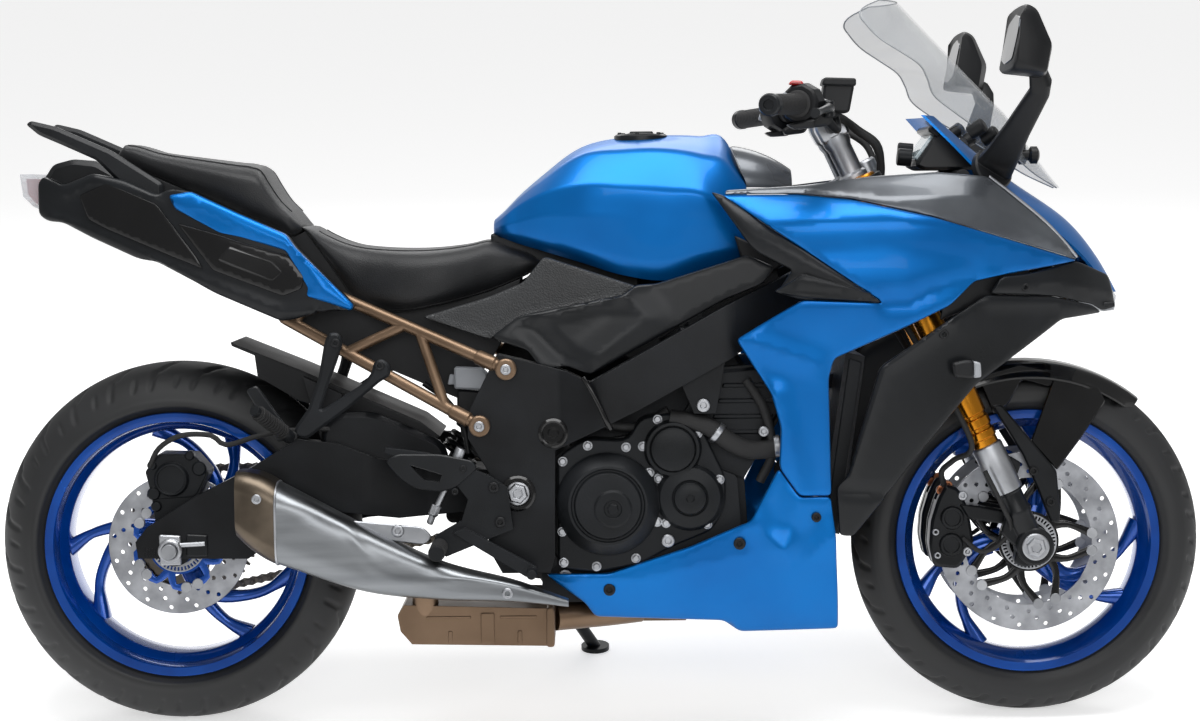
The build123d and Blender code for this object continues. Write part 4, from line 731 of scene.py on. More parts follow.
SEAT_X = (-507, -496, -470, -442, -409, -375, -341, -273, -222, -192, -150, -112, -98)
SEAT_TOPS = (853, 853, 840, 828, 820, 816, 814, 815, 821, 827, 816, 800, 788)
SEAT_BASES = (850, 838, 801, 760, 713, 709, 708, 719, 731, 740, 757, 775, 784)
SEAT_WIDTHS = (84, 97, 99, 101, 106, 116, 128, 133, 114, 101, 90, 80, 66)
seat_rings = pad(SEAT_X, SEAT_TOPS, SEAT_BASES, SEAT_WIDTHS, np.linspace(-506, -99, 64), 0.78)
seat = one(loft(seat_rings), "rider_seat_cover", "chassis", VINYL, sharp=60)
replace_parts(seat, "rider_seat")

PILLION_X = (-823, -812, -800, -749, -682, -614, -590, -574, -562, -545, -520, -506)
PILLION_TOPS = (974, 994, 995, 982, 972, 963, 960, 953, 932, 904, 876, 856)
PILLION_BASES = (968, 964, 958, 937, 907, 877, 866, 860, 854, 848, 838, 848)
PILLION_WIDTHS = (62, 70, 74, 84, 103, 120, 122, 121, 119, 116, 112, 96)
pillion_rings = pad(PILLION_X, PILLION_TOPS, PILLION_BASES, PILLION_WIDTHS, np.linspace(-822, -507, 56), 0.7)
pillion = one(loft(pillion_rings), "pillion_seat_cover", "chassis", VINYL, sharp=60)
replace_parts(pillion, "pillion_seat")

seams = Shape()
for rings, places in ((seat_rings[4:-4], (1, 22)), (pillion_rings[3:-3], (1, 20))):
    for index in places:
        for side in (index, 60 - index):
            seams.add(seam(rings, side, 1.6))
seams.piece("seat_seams", "chassis", BLACK, sharp=40)

# Tail: layered side panels, a rear block and the painted stripes

TAIL_OUTLINE = [
    (-950, 877), (-950, 930), (-941, 942), (-906, 926), (-854, 946), (-800, 934), (-741, 908), (-722, 919),
    (-687, 914), (-610, 879), (-525, 841), (-509, 819), (-413, 722), (-417, 713), (-458, 713), (-515, 699),
    (-536, 696), (-647, 744), (-680, 763), (-744, 797), (-777, 802), (-857, 838), (-906, 864), (-933, 866),
]
PLATE_REAR = [
    (-877, 909), (-828, 930), (-742, 893), (-718, 862), (-676, 806), (-664, 784), (-719, 806), (-832, 853),
    (-862, 869),
]
PLATE_FRONT = [
    (-708, 862), (-634, 841), (-600, 829), (-520, 806), (-495, 770), (-500, 750), (-531, 738), (-648, 782),
]
STRIPE_OUTLINE = [
    (-722, 908), (-685, 914), (-610, 879), (-525, 841), (-509, 819), (-413, 722), (-417, 713), (-493, 738),
    (-489, 751), (-526, 814), (-601, 837), (-635, 844), (-711, 885),
]
tail_half = curve((-960, -820, -640, -520, -400), (96, 126, 157, 163, 168))


def tail_depth(x, z):
    crown = curve((-960, -640, -400), (905, 820, 725))(x)
    return tail_half(x) - 0.0009 * (z - crown) ** 2


tail = Shape()
tail.pair(sheet(TAIL_OUTLINE, tail_depth, wall=28, corner=10, creases=[
    ([(-900, 915), (-850, 936), (-742, 902)], 4, 12),
    ([(-930, 875), (-860, 852), (-660, 762), (-535, 712), (-440, 716)], 5, 14),
]))
REAR_BLOCK = [
    (-950, 880), (-950, 933), (-941, 945), (-930, 962), (-895, 971), (-855, 966), (-815, 942), (-781, 925),
    (-781, 856), (-905, 866), (-938, 868),
]
tail.add(slab(REAR_BLOCK, -72, 72, bevel=9, corner=8))
tail_skin = tail.piece("tail_cowl_skin", "chassis", SATIN, sharp=40)
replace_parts(tail_skin, "tail_cowl")
plates = Shape()
plates.pair(sheet(PLATE_REAR, lifted(tail_depth, 4), step=6, wall=6, roll=3, corner=6))
plates.pair(sheet(PLATE_FRONT, lifted(tail_depth, 4), step=6, wall=6, roll=3, corner=6))
plates.pair(slab([(-640, 800), (-548, 762), (-528, 778), (-548, 798), (-620, 822)], 158, 166, bevel=3,
                 corner=6))
plates.piece("tail_plates", "chassis", GLOSS, sharp=25)
stripe = one(sheet(STRIPE_OUTLINE, lifted(tail_depth, 3.5), wall=9, corner=6, creases=[
    ([(-712, 900), (-642, 884), (-599, 860), (-519, 825), (-496, 806), (-463, 749), (-422, 722)], 5, 16),
]), "tail_stripe_skins", "chassis", BLUE, mirror=True, sharp=40)
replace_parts(stripe, "tail_stripes")

# Wheels: treaded tyres, cast rims, drilled discs on carriers


def around_wheel(axle, radius, across, angle):
    """A point of a wheel: radius and angle in its plane, and its distance to the left."""
    return (axle[0] + radius * math.cos(angle), across, axle[2] + radius * math.sin(angle))


def tread_depth(share, angle, pitches):
    """How deep the tread is cut, by the share of the half-width from the middle and the angle."""
    size = abs(share)
    if size < 0.12 or size > 0.93:
        return 0.0
    turn = angle / (2 * math.pi) * pitches + (0.5 if share > 0 else 0)
    cut = 0.0
    for start, end, shift, slant, width in ((0.14, 0.58, 0.0, 0.75, 0.05), (0.5, 0.92, 0.42, 0.34, 0.045),
                                            (0.66, 0.9, 0.9, 0.3, 0.035)):
        if start < size < end:
            place = (turn - shift - slant * (size - start) ** 0.8) % 1.0
            away = min(place, 1 - place)
            taper = min(1.0, (size - start) / 0.06, (end - size) / 0.06)
            cut = max(cut, taper * min(1.0, max(0.0, 1.6 - away / width * 0.8)))
    return cut


def tyre_skin(axle, radius, width, crown, rim_width, pitches, turns=600):
    """A tyre's outer skin with cut tread, sidewall ridges and beads."""
    shoulder = width / 2 - 4
    shoulder_radius = radius - crown + math.sqrt(crown**2 - shoulder**2)
    bead = rim_width / 2 - 1
    wall_start = 229
    wall = [(bead - 10, 220), (bead - 2, 220), (bead, 225), (bead + 2, wall_start),
            (bead + 6, wall_start + 3)]
    steps = curve((0, 0.35, 0.7, 1), (bead + 6, width / 2 - 1.2, width / 2 - 0.6, shoulder))
    for t in np.linspace(0.08, 0.94, 9):
        ridge = 1.0 if 0.2 < t < 0.3 else 0.0
        wall.append((float(steps(t)) + ridge, wall_start + 3 + (shoulder_radius - wall_start - 3) * t))
    top = math.asin(shoulder / crown)
    crowns = [(crown * math.sin(a), radius - crown + crown * math.cos(a)) for a in np.linspace(top, -top, 45)]
    profile = wall + crowns + [(-across, high) for across, high in reversed(wall)]
    first, last = len(wall), len(wall) + len(crowns)
    verts, faces = [], []
    for turn in range(turns):
        angle = 2 * math.pi * turn / turns
        for i, (across, high) in enumerate(profile):
            cut = 4.0 * tread_depth(across / shoulder, angle, pitches) if first <= i < last else 0.0
            verts.append(around_wheel(axle, high - cut, across, angle))
    count = len(profile)
    for turn in range(turns):
        after = (turn + 1) % turns
        for i in range(count):
            j = (i + 1) % count
            faces.append((turn * count + i, after * count + i, after * count + j, turn * count + j))
    return verts, faces


def beam(axle, path, widths, depths, across=0.0, sides=16):
    """A spoke with a rounded section along flat points of a wheel's plane."""
    line = smooth_path([(p[0], p[1], 0) for p in path], 9)
    shares = np.linspace(0, 1, len(line))
    at = np.linspace(0, 1, len(widths))
    rings = []
    for i, place in enumerate(line):
        ahead = (line[min(i + 1, len(line) - 1)] - line[max(i - 1, 0)]).normalized()
        normal = Vector((-ahead.y, ahead.x, 0))
        wide, deep = np.interp(shares[i], at, widths) / 2, np.interp(shares[i], at, depths) / 2
        ring = []
        for k in range(sides):
            u, v = squared(2 * math.pi * k / sides, 0.6)
            flat = place + normal * (u * wide)
            ring.append((axle[0] + flat.x, across + v * deep, axle[2] + flat.y))
        rings.append(ring)
    return loft(rings)


def polar(radius, degrees):
    """A flat point by its distance and direction from the middle."""
    return (radius * math.cos(math.radians(degrees)), radius * math.sin(math.radians(degrees)))


def cast_rim(axle, rim_width, hub_width, first_spoke):
    """A rim ring with rolled lips, three swept Y spokes and a hub."""
    half = rim_width / 2
    well = half * 0.45
    ring = Shape()
    lip = [(226, half), (218.7, half), (216.7, well + 8), (202.7, well), (202.7, -well), (216.7, -well - 8),
           (218.7, -half), (226, -half), (227.5, -half - 3), (226, -half - 6), (221, -half - 6),
           (212, -half - 5), (210.5, -half - 1), (207, -well - 14), (196, -well - 2), (194.5, -well + 6),
           (194.5, well - 6), (196, well + 2), (207, well + 14), (210.5, half + 1), (212, half + 5),
           (221, half + 6), (226, half + 6), (227.5, half + 3), (226, half)]
    ring.add(lathe(lip, axle, LEFT, 128))
    for turn in range(3):
        stem = first_spoke + 120 * turn
        ring.add(beam(axle, [polar(22, stem - 8), polar(70, stem - 2), polar(112, stem + 3),
                             polar(160, stem + 11), polar(200, stem + 19)], [46, 34, 22, 17, 30],
                      [44, 34, 28, 26, 40]))
        ring.add(beam(axle, [polar(60, stem + 4), polar(100, stem + 9), polar(130, stem + 24),
                             polar(165, stem + 41), polar(200, stem + 58)], [30, 26, 19, 17, 32],
                      [36, 32, 27, 26, 40]))
    hub = [(12.6, -hub_width / 2), (33, -hub_width / 2), (36, -hub_width / 2 + 3), (38, -24), (46, -16),
           (46, 16), (38, 24), (36, hub_width / 2 - 3), (33, hub_width / 2), (12.6, hub_width / 2),
           (12.6, -hub_width / 2)]
    ring.add(lathe(hub, axle, LEFT, 64))
    return ring


def disc_place(axle, left):
    """Places a flat outline across a wheel's axis, at a distance left of the middle."""
    return lambda u, v, w: np.stack([axle[0] + u, left + w, axle[2] + v], 1)


def rotor(axle, left, outer, inner, holes, thickness=5):
    """A drilled disc ring whose right-hand face is at a distance left of the middle."""
    loops = [circle((0, 0), inner, 72)]
    for k in range(holes):
        for share, shift in ((0.24, 0.0), (0.52, 0.34), (0.8, 0.66)):
            place = polar(inner + (outer - inner) * share, 360 * (k + shift) / holes)
            loops.append(circle(place, 4.0, 8))
    return slab(circle((0, 0), outer, 120), 0, thickness, bevel=0.8, corner=0, step=40, holes=loops,
                place=disc_place(axle, left))


BOBBINS = 10
BOBBIN_START, BOBBIN_SHIFT = 17, 10


def bobbin_angle(k):
    """The direction of a bobbin; they stand in pairs."""
    return 360 * k / BOBBINS + (BOBBIN_SHIFT if k % 2 else -BOBBIN_SHIFT) + BOBBIN_START


def carrier(axle, left, reach, thickness):
    """A disc's inner carrier: a ring with forked arms that end at the bobbins."""
    ring = [(24, 0), (24, thickness), (52, thickness), (52, 0), (24, 0)]
    parts = [lathe(ring, (axle[0], left, axle[2]), LEFT, 64)]
    for k in range(BOBBINS):
        angle = bobbin_angle(k)
        root = 360 * (k // 2 * 2 + 0.5) / BOBBINS + BOBBIN_START
        arm = [polar(46, root), polar(74, root * 0.55 + angle * 0.45), polar(reach, angle)]
        parts.append(beam(axle, arm, [16, 11, 15], [thickness] * 3, left + thickness / 2))
    return joined(*parts)


def bobbin_set(axle, left, reach):
    """The turned buttons that hold a disc on its carrier."""
    profile = [(9, -1), (9.5, 0), (9.5, 6), (8, 7.2), (5, 7.2), (4, 5)]
    parts = []
    for k in range(BOBBINS):
        u, v = polar(reach, bobbin_angle(k))
        parts.append(lathe(profile, (axle[0] + u, left, axle[2] + v), LEFT, 20))
    return joined(*parts)


def slotted_ring(axle, left, outer, inner, slots):
    """A wheel-speed ring with slots around it."""
    loops = [circle((0, 0), inner, 60)]
    corners = ((outer - 9, -2.1), (outer - 2.5, -2.1), (outer - 2.5, 2.1), (outer - 9, 2.1))
    for k in range(slots):
        loops.append([polar(radius, 360 * k / slots + turn) for radius, turn in corners])
    return slab(circle((0, 0), outer, 96), 0, 2, bevel=0.4, corner=0, step=40, holes=loops,
                place=disc_place(axle, left))


for name, axle, radius, width, crown, rim_width, hub_width, spoke, pitches in (
    ("front", FRONT_AXLE, 300, 120, 65, 89, 100, 189, 22),
    ("rear", REAR_AXLE, 311, 190, 100, 152, 124, 165, 24),
):
    body = name + "_wheel"
    skin = one(tyre_skin(axle, radius, width, crown, rim_width, pitches), name + "_tyre_treaded", body,
               RUBBER, sharp=40)
    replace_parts(skin, name + "_tyre")
    ring = cast_rim(axle, rim_width, hub_width, spoke)
    if name == "rear":
        ring.add(lathe([(13, 60), (56, 60), (56, 108), (13, 108), (13, 60)], axle, LEFT, 64))
    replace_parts(ring.piece(name + "_rim_cast", body, RIM_BLUE, sharp=35), name + "_rim")

front_rotors, front_carriers, front_bobbins = Shape(), Shape(), Shape()
for left in (-55, 50):
    front_rotors.add(rotor(FRONT_AXLE, left, 155, 110, 20))
    front_carriers.add(carrier(FRONT_AXLE, left - 1, 108, 7))
    front_bobbins.add(bobbin_set(FRONT_AXLE, left - 0.6, 110))
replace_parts(front_rotors.piece("front_rotors", "front_wheel", DISC_STEEL), "front_discs")
front_carriers.piece("front_carriers", "front_wheel", GLOSS)
front_bobbins.piece("front_bobbins", "front_wheel", SILVER)
one(slotted_ring(FRONT_AXLE, -60, 48, 34, 44), "front_speed_ring", "front_wheel", SILVER)
rear_rotor = one(rotor(REAR_AXLE, -67, 120, 72, 16), "rear_rotor", "rear_wheel", DISC_STEEL)
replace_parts(rear_rotor, "rear_disc")
one(carrier(REAR_AXLE, -68, 74, 6), "rear_carrier", "rear_wheel", RIM_BLUE)
one(bobbin_set(REAR_AXLE, -67, 76), "rear_bobbins", "rear_wheel", SILVER)
one(slotted_ring(REAR_AXLE, -72, 48, 34, 44), "rear_speed_ring", "rear_wheel", SILVER)

# Fasteners, springs and places on the fairing


def bolt(place, axis=RIGHT, radius=6.0, high=6.0):
    """A hexagon head on a washer."""
    washer = lathe([(radius * 1.5, -1), (radius * 1.5, 1.2), (radius * 1.35, 1.8)], place, axis, 24)
    head = lathe([(radius * 1.1, 1.0), (radius * 1.1, high * 0.8), (radius * 0.9, high)], place, axis, 6)
    return joined(washer, head)


def socket(place, axis=RIGHT, radius=6.0, high=5.0):
    """A round head with a recess."""
    profile = [(radius, -1), (radius, high * 0.75), (radius * 0.85, high), (radius * 0.5, high),
               (radius * 0.45, 1)]
    return lathe(profile, place, axis, 20)


def fasteners(name, body, material, places, head=bolt, mirror=False):
    """A set of bolts given by place and radius."""
    made = Shape()
    for *place, radius in places:
        made.add(head(place, RIGHT, radius), mirror)
    return made.piece(name, body, material)


def spring(low, high, coil, wire, turns):
    """A coil spring between two points."""
    axis, side, other = frame_of(Vector(high) - Vector(low))
    count = int(turns * 20)
    line = []
    for k in range(count + 1):
        angle = 2 * math.pi * turns * k / count
        line.append(Vector(low) + (Vector(high) - Vector(low)) * (k / count)
                    + (side * math.cos(angle) + other * math.sin(angle)) * coil)
    return tube(line, wire, sides=8, smooth=False)


def on_fairing(x, z, proud=0.0):
    """A point of the right-hand fairing's surface."""
    return (x, -float(fairing(np.array([x]), np.array([z]))[0]) - proud, z)


# Black inserts between tank and fairing, with the blade that runs forward from them

INSERT_OUTLINE = [
    (201, 899), (263, 855), (457, 722), (327, 727), (287, 739), (311, 776), (254, 806), (241, 819),
    (182, 905),
]
BLADE_OUTLINE = [(281, 741), (328, 770), (440, 737), (440, 724), (330, 731)]
inserts = Shape()
inserts.pair(sheet(INSERT_OUTLINE, lifted(fairing, -2), corner=5, creases=[
    ([(196, 900), (246, 838), (330, 790), (448, 728)], 7, 26),
]))
inserts.pair(sheet(BLADE_OUTLINE, lifted(fairing, 9), corner=5, wall=12, creases=[
    ([(290, 744), (436, 729)], -5, 14),
]))
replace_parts(inserts.piece("fairing_insert_skins", "chassis", SATIN, sharp=40), "fairing_inserts")
fasteners("cowl_fasteners", "chassis", BLACK, [
    (*on_fairing(225, 321, 4), 10), (*on_fairing(8, 241, 4), 10), (*on_fairing(352, 365, 2), 8),
    (*on_fairing(560, 668, 2), 8), (*on_fairing(700, 742, 2), 7),
], socket, mirror=True)

# Fuel filler cap

CAP_AT = (70, 0, 999)
cap_parts = [lathe([(46, -6), (46, 3), (42, 6), (35, 6.5), (34, 4.5), (24, 5), (23, 7.5), (6, 8)], CAP_AT, UP,
                   48)]
for k in range(6):
    u, v = polar(39, 60 * k + 20)
    cap_parts.append(socket((CAP_AT[0] + u, v, CAP_AT[2] + 6), UP, 3.5, 3))
cap_parts.append(slab([(52, -5), (90, -5), (92, 5), (50, 5)], 0, 5, bevel=1.5,
                      place=lambda u, v, w: np.stack([u, v, CAP_AT[2] + 6 + w], 1)))
one(joined(*cap_parts), "filler_cap", "chassis", SATIN)

# Engine: round covers, their flange, bolts and hoses

ENGINE_FACE = 165
FLANGE_OUTLINE = [
    (-77, 466), (-30, 496), (40, 492), (62, 530), (120, 538), (166, 510), (204, 430), (204, 380),
    (182, 340), (112, 312), (60, 284), (-14, 271), (-77, 279),
]
covers = Shape()
covers.add(slab(FLANGE_OUTLINE, 120, ENGINE_FACE + 8, bevel=3, corner=16))
CLUTCH, CLUTCH_CAP, SMALL, PUMP = (7, 386), (15, 381), (116, 478), (144, 396)
GENERATOR = (60, ENGINE_FACE, 380)
for (x, z), profile in (
    (CLUTCH, [(86, 0), (86, 14), (83, 19), (66, 36), (62, 36.5), (60, 33), (57, 33), (54, 38), (36, 39.5)]),
    (CLUTCH_CAP, [(31, 30), (31, 40.5), (28, 42.5), (15, 42.5), (14, 40)]),
    (SMALL, [(48, 0), (48, 14), (44, 21), (39, 21.5), (37.5, 18.5), (36, 26), (30, 28), (9, 28.5)]),
    (PUMP, [(56, 0), (56, 12), (50, 20), (31, 25), (28, 23), (26, 29), (21, 31.5), (7, 31.5), (6, 29)]),
):
    covers.add(lathe(profile, (x, -ENGINE_FACE, z), RIGHT, 72))
covers.add(lathe([(9.5, 38), (9.5, 43), (8, 44)], (CLUTCH_CAP[0], -ENGINE_FACE, CLUTCH_CAP[1]), RIGHT, 6))
for k in range(6):
    covers.add(beam((PUMP[0], 0, PUMP[1]), [polar(30, 60 * k), polar(50, 60 * k)], [4, 7], [10, 4],
                    -ENGINE_FACE - 17))
covers.add(lathe([(78, 0), (78, 20), (68, 33), (44, 35), (42, 31), (20, 31), (18, 36)], GENERATOR, LEFT, 72))
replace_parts(covers.piece("engine_cover_castings", "chassis", CAST), "engine_covers")
CASE_BOLTS = [
    (-68, 458), (-26, 484), (38, 481), (66, 482), (77, 438), (92, 428), (91, 527), (158, 503), (150, 443),
    (194, 425), (173, 350), (89, 355), (104, 353), (53, 294), (-13, 281), (-68, 288), (-70, 398),
    (-70, 340),
]
fasteners("case_bolts", "chassis", SILVER, [(x, -ENGINE_FACE - 8, z, 5.5) for x, z in CASE_BOLTS])
left_bolts = Shape()
for k in range(8):
    u, v = polar(86, 45 * k)
    left_bolts.add(bolt((GENERATOR[0] + u, ENGINE_FACE, GENERATOR[2] + v), LEFT, 5))
left_bolts.piece("generator_bolts", "chassis", SILVER)
one(joined(socket((107, -ENGINE_FACE - 8, 323), RIGHT, 11, 6),
           socket((-66, -ENGINE_FACE + 20, 262), RIGHT, 12, 8)), "oil_plugs", "chassis", SILVER)
HEAD_OUTLINE = [(150, 520), (190, 606), (284, 614), (306, 552), (262, 476), (205, 470)]
head_parts = [slab(HEAD_OUTLINE, -156, 156, bevel=5, corner=10)]
for step in range(4):
    z = 500 + step * 26
    head_parts.append(slab([(176 + step * 8, z), (276 + step * 7, z), (278 + step * 7, z + 7),
                            (178 + step * 8, z + 7)], -160, 160, bevel=1.5, corner=2))
one(joined(*head_parts), "cylinder_head", "chassis", CAST)
hoses = Shape()
hoses.add(tube([(112, -168, 528), (172, -172, 516), (212, -172, 488), (250, -170, 474), (300, -168, 482),
                (372, -150, 520)], 16))
hoses.add(tube([(300, -120, 440), (330, -165, 420), (352, -168, 360), (372, -150, 346)], 15))
hoses.add(tube([(-60, -126, 505), (-20, -142, 520), (60, -146, 512), (110, -152, 540)], 9))
hoses.add(tube([(240, -158, 590), (270, -166, 540), (282, -168, 470), (262, -160, 420)], 8))
hoses.piece("coolant_hoses", "chassis", GRIP, sharp=40)
clips = Shape()
for place, axis, radius in (((190, -172, 503), (1, 0, -0.8), 17.5), ((290, -169, 480), (1, 0, 0.1), 17.5),
                            ((341, -167, 392), (0.3, 0, -1), 16.5)):
    clips.add(lathe([(radius, -5), (radius + 1, -4), (radius + 1, 4), (radius, 5), (radius - 2, 5),
                     (radius - 2, -5), (radius, -5)], place, axis, 32))
clips.piece("hose_clips", "chassis", SILVER)

# Frame: bolts, the recessed boss, the pivot nut and the cable strap, and the electrics behind it

PLATE_FACE = 188
SPAR_FACE = 208
PIVOT = (-143, -PLATE_FACE, 407)
fasteners("frame_bolts", "chassis", SILVER, [
    (167, -SPAR_FACE + 20, 551, 11), (268, -172, 505, 9), (-160, -PLATE_FACE - 20, 615, 9),
    (-205, -PLATE_FACE - 20, 521, 9),
], socket, mirror=True)
bosses = Shape()
bosses.pair(lathe([(25, -2), (25, 4), (21, 7), (18, 6), (17, 2), (9, 2), (8, 5), (4, 5)],
                  (-83, -PLATE_FACE, 507), RIGHT, 40))
bosses.pair(lathe([(30, -1), (30, 5), (26, 8), (22, 8), (21, 3), (17, 3)], PIVOT, RIGHT, 40))
bosses.pair(tube([(-32, -206, 600), (-22, -211, 585), (-4, -212, 550), (6, -211, 527), (12, -204, 515)], 4.5))
bosses.piece("frame_bosses", "chassis", GLOSS)
nut = lathe([(17, 2), (17, 8), (15, 11), (9, 11), (8, 7)], PIVOT, RIGHT, 6)
one(joined(nut, lathe([(20, 1), (20, 4), (18, 5)], PIVOT, RIGHT, 32)), "pivot_nuts", "chassis", SILVER,
    mirror=True)
box_grey = finish("grey_housing", (140, 144, 150), (164, 168, 174), 0.45, grain=900, bump=0.05, edge=ROUND)
electrics = Shape()
electrics.add(slab([(-250, 578), (-196, 574), (-194, 604), (-204, 612), (-250, 614)], 96, 128, bevel=3,
                   corner=4))
electrics.add(slab([(-262, 584), (-248, 584), (-248, 600), (-258, 602)], 108, 114, bevel=1, corner=3))
electrics.piece("electrics_box", "chassis", box_grey)
loom = Shape()
loom.add(slab([(-246, 538), (-198, 534), (-198, 572), (-246, 576)], 98, 124, bevel=3, corner=5))
loom.add(tube([(-236, -116, 540), (-232, -122, 500), (-214, -126, 470), (-190, -140, 462)], 7))
loom.add(tube([(-300, -150, 590), (-262, -146, 560), (-236, -142, 520), (-226, -150, 470)], 5))
loom.piece("wiring", "chassis", BLACK, sharp=40)

# Exhaust: the folded muffler skin, its band, outlet and tab, and ribs on the chamber

MUFFLER_X = (-536, -388, -272, -140, -60)
muffler_left = curve(MUFFLER_X, (219, 215, 213, 215, 215))
muffler_high = curve(MUFFLER_X, (366, 302, 267, 246, 227))
muffler_wide = curve(MUFFLER_X, (118, 100, 78, 54, 26))
muffler_tall = curve(MUFFLER_X, (134, 104, 62, 32, 12))
FOLD = curve((-536, -420, -390, -200, -60), (0.55, 0.85, 0.2, 0.75, 0.9))
muffler_rings = []
for along in np.linspace(-536, -60, 70):
    ring = []
    for k in range(56):
        u, v = squared(2 * math.pi * k / 56, 0.55)
        fold = max(0.0, 1 - abs(v - float(FOLD(along))) / 0.35) if u < 0 else 0.0
        wide = muffler_wide(along) / 2 * (1 + 0.05 * fold)
        ring.append((along, -muffler_left(along) + u * wide,
                     muffler_high(along) + v * muffler_tall(along) / 2))
    muffler_rings.append(ring)
muffler = one(loft(muffler_rings), "muffler_skin", "chassis", STEEL, sharp=50)
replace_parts(muffler, "muffler")
seam_ring = [(p[0] - 1, p[1], p[2]) for p in muffler_rings[0]]
joint = tube([*seam_ring, seam_ring[0]], 2.2, sides=8, smooth=False)
one(joined(joint, socket((-566, -278, 412), RIGHT, 8, 4)), "muffler_band", "chassis", SILVER)
one(lathe([(27, 0), (27, 40), (24, 42), (22, 40), (22, 2), (24, 0), (27, 0)], (-601, -219, 396), FORWARD, 48),
    "outlet_pipe", "chassis", TITAN)
tab = slab([(-420, 368), (-300, 356), (-284, 340), (-296, 326), (-400, 340)], 214, 220, bevel=1.5, corner=8)
one(joined(tab, socket((-341, -220, 350), RIGHT, 10, 5), socket((-160, -243, 248), RIGHT, 9, 5)),
    "muffler_tab", "chassis", SILVER)
CHAMBER_FACE = 194
chamber_ribs = Shape()
for outline, proud in (
    ([(-298, 198), (-223, 198), (-223, 203), (-298, 203)], 2.5),
    ([(-175, 198), (-113, 198), (-113, 203), (-175, 203)], 2.5),
    ([(-207, 156), (-207, 208), (-184, 208), (-184, 156)], 4),
    ([(-262, 156), (-262, 178), (-254, 178), (-254, 156)], 2.5),
    ([(-146, 156), (-146, 178), (-138, 178), (-138, 156)], 2.5),
):
    chamber_ribs.add(slab(outline, CHAMBER_FACE - 4, CHAMBER_FACE + proud, bevel=1.5, corner=3))
chamber_ribs.add(slab([(-98, 149), (-98, 216), (-84, 216), (-84, 149)], -58, CHAMBER_FACE + 3, bevel=2,
                      corner=6))
chamber_ribs.add(tube([(-84, -110, 186), (0, -80, 188), (60, -52, 190)], 24))
chamber_ribs.piece("chamber_ribs", "chassis", BRONZE, sharp=40)

# Footrests: pegs with ribbed rubbers, bolts and the brake push rod


def ribbed(first, last, radius, groove, pitch=7.0):
    """A lathe profile with grooves around it."""
    profile = [(radius - 2, first)]
    for k in range(int((last - first) / pitch)):
        at = first + k * pitch
        profile += [(radius, at + 1), (radius, at + pitch - 2), (radius - groove, at + pitch - 1.5),
                    (radius - groove, at + pitch)]
    return profile + [(radius - 2, last)]


PASSENGER_PEG, PASSENGER_PEG_AXIS = (-520, -180, 502), (-0.42, -0.73, 0.47)
pegs = Shape()
pegs.pair(lathe(ribbed(14, 108, 14, 2), (-273, -PLATE_FACE, 322), RIGHT, 28))
pegs.pair(lathe(ribbed(24, 104, 13, 2), PASSENGER_PEG, PASSENGER_PEG_AXIS, 24))
pegs.piece("peg_rubbers", "chassis", GRIP)
fasteners("footrest_bolts", "chassis", BLACK, [
    (-182, -PLATE_FACE - 24, 420, 9), (-172, -PLATE_FACE - 24, 362, 9), (-232, -PLATE_FACE - 24, 452, 6),
    (-246, -PLATE_FACE - 24, 414, 6), (-443, -184, 660, 8), (-370, -184, 622, 8), (-516, -184, 506, 8),
], socket, mirror=True)
rods = Shape()
rods.add(tube([(-236, -198, 482), (-254, -198, 436), (-290, -200, 362)], 5, smooth=False))
rods.add(lathe([(8, 0), (9, 4), (9, 34), (7, 38), (7, 58), (9, 60), (9, 66), (6, 70)], (-236, -198, 484),
               (-0.36, 0, -0.93), 18))
rods.add(lathe([(9, 0), (9, 16), (6, 20), (6, 32), (4, 34)], (-278, -200, 390), (-0.36, 0, -0.93), 6))
rods.piece("brake_push_rod", "chassis", SILVER)
HEEL_OUTLINE = [
    (-362, 466), (-341, 477), (-271, 476), (-217, 465), (-208, 452), (-246, 419), (-272, 413), (-313, 420),
    (-338, 437),
]
HEEL_OPENING = [(-321, 459), (-267, 442), (-272, 430), (-297, 434)]
heel = slab(HEEL_OUTLINE, PLATE_FACE + 20, PLATE_FACE + 27, bevel=2, corner=8, holes=[HEEL_OPENING])
one(heel, "heel_guards", "chassis", SATIN, mirror=True)

# Rear wheel area: chain adjusters, axle ends, caliper, hose and the passenger pegs' plates

ARM_FACE = 142
ADJUSTER_OUTLINE = [(-749, 338), (-713, 336), (-713, 286), (-747, 286)]
silver_parts = Shape()
silver_parts.add(slab(ADJUSTER_OUTLINE, ARM_FACE - 2, ARM_FACE + 9, bevel=2, corner=3))
silver_parts.add(tube([(-714, -148, 320), (-672, -147, 322)], 4, smooth=False))
silver_parts.add(lathe([(20, 6), (20, 14), (17, 17), (14, 17), (13, 13)], (-730, -ARM_FACE, 311), RIGHT, 36))
silver_parts.add(lathe([(19, 14), (19, 22), (16, 25), (12, 25)], (-730, 147, 311), LEFT, 6))
silver_parts.add(slab(ADJUSTER_OUTLINE, -170, -158, bevel=2, corner=3))
silver_parts.piece("chain_adjusters", "chassis", SILVER)
adjuster = Shape()
adjuster.add(slab([(-704, 338), (-668, 336), (-668, 300), (-704, 300)], ARM_FACE - 3, ARM_FACE + 5, bevel=2,
                  corner=3))
for k in range(6):
    x = -776 + 4.5 * k
    adjuster.add(slab([(x, 300), (x + 1.4, 300), (x + 1.4, 314), (x, 314)], ARM_FACE - 2, ARM_FACE + 1,
                      bevel=0.3, corner=0))
adjuster.piece("adjuster_blocks", "chassis", SATIN)
caliper = Shape()
CALIPER_FACE = 112
caliper.add(lathe([(29, -6), (29, 8), (26, 13), (24, 13), (23, 10), (12, 10)], (-731, -CALIPER_FACE, 428),
                  RIGHT, 40))
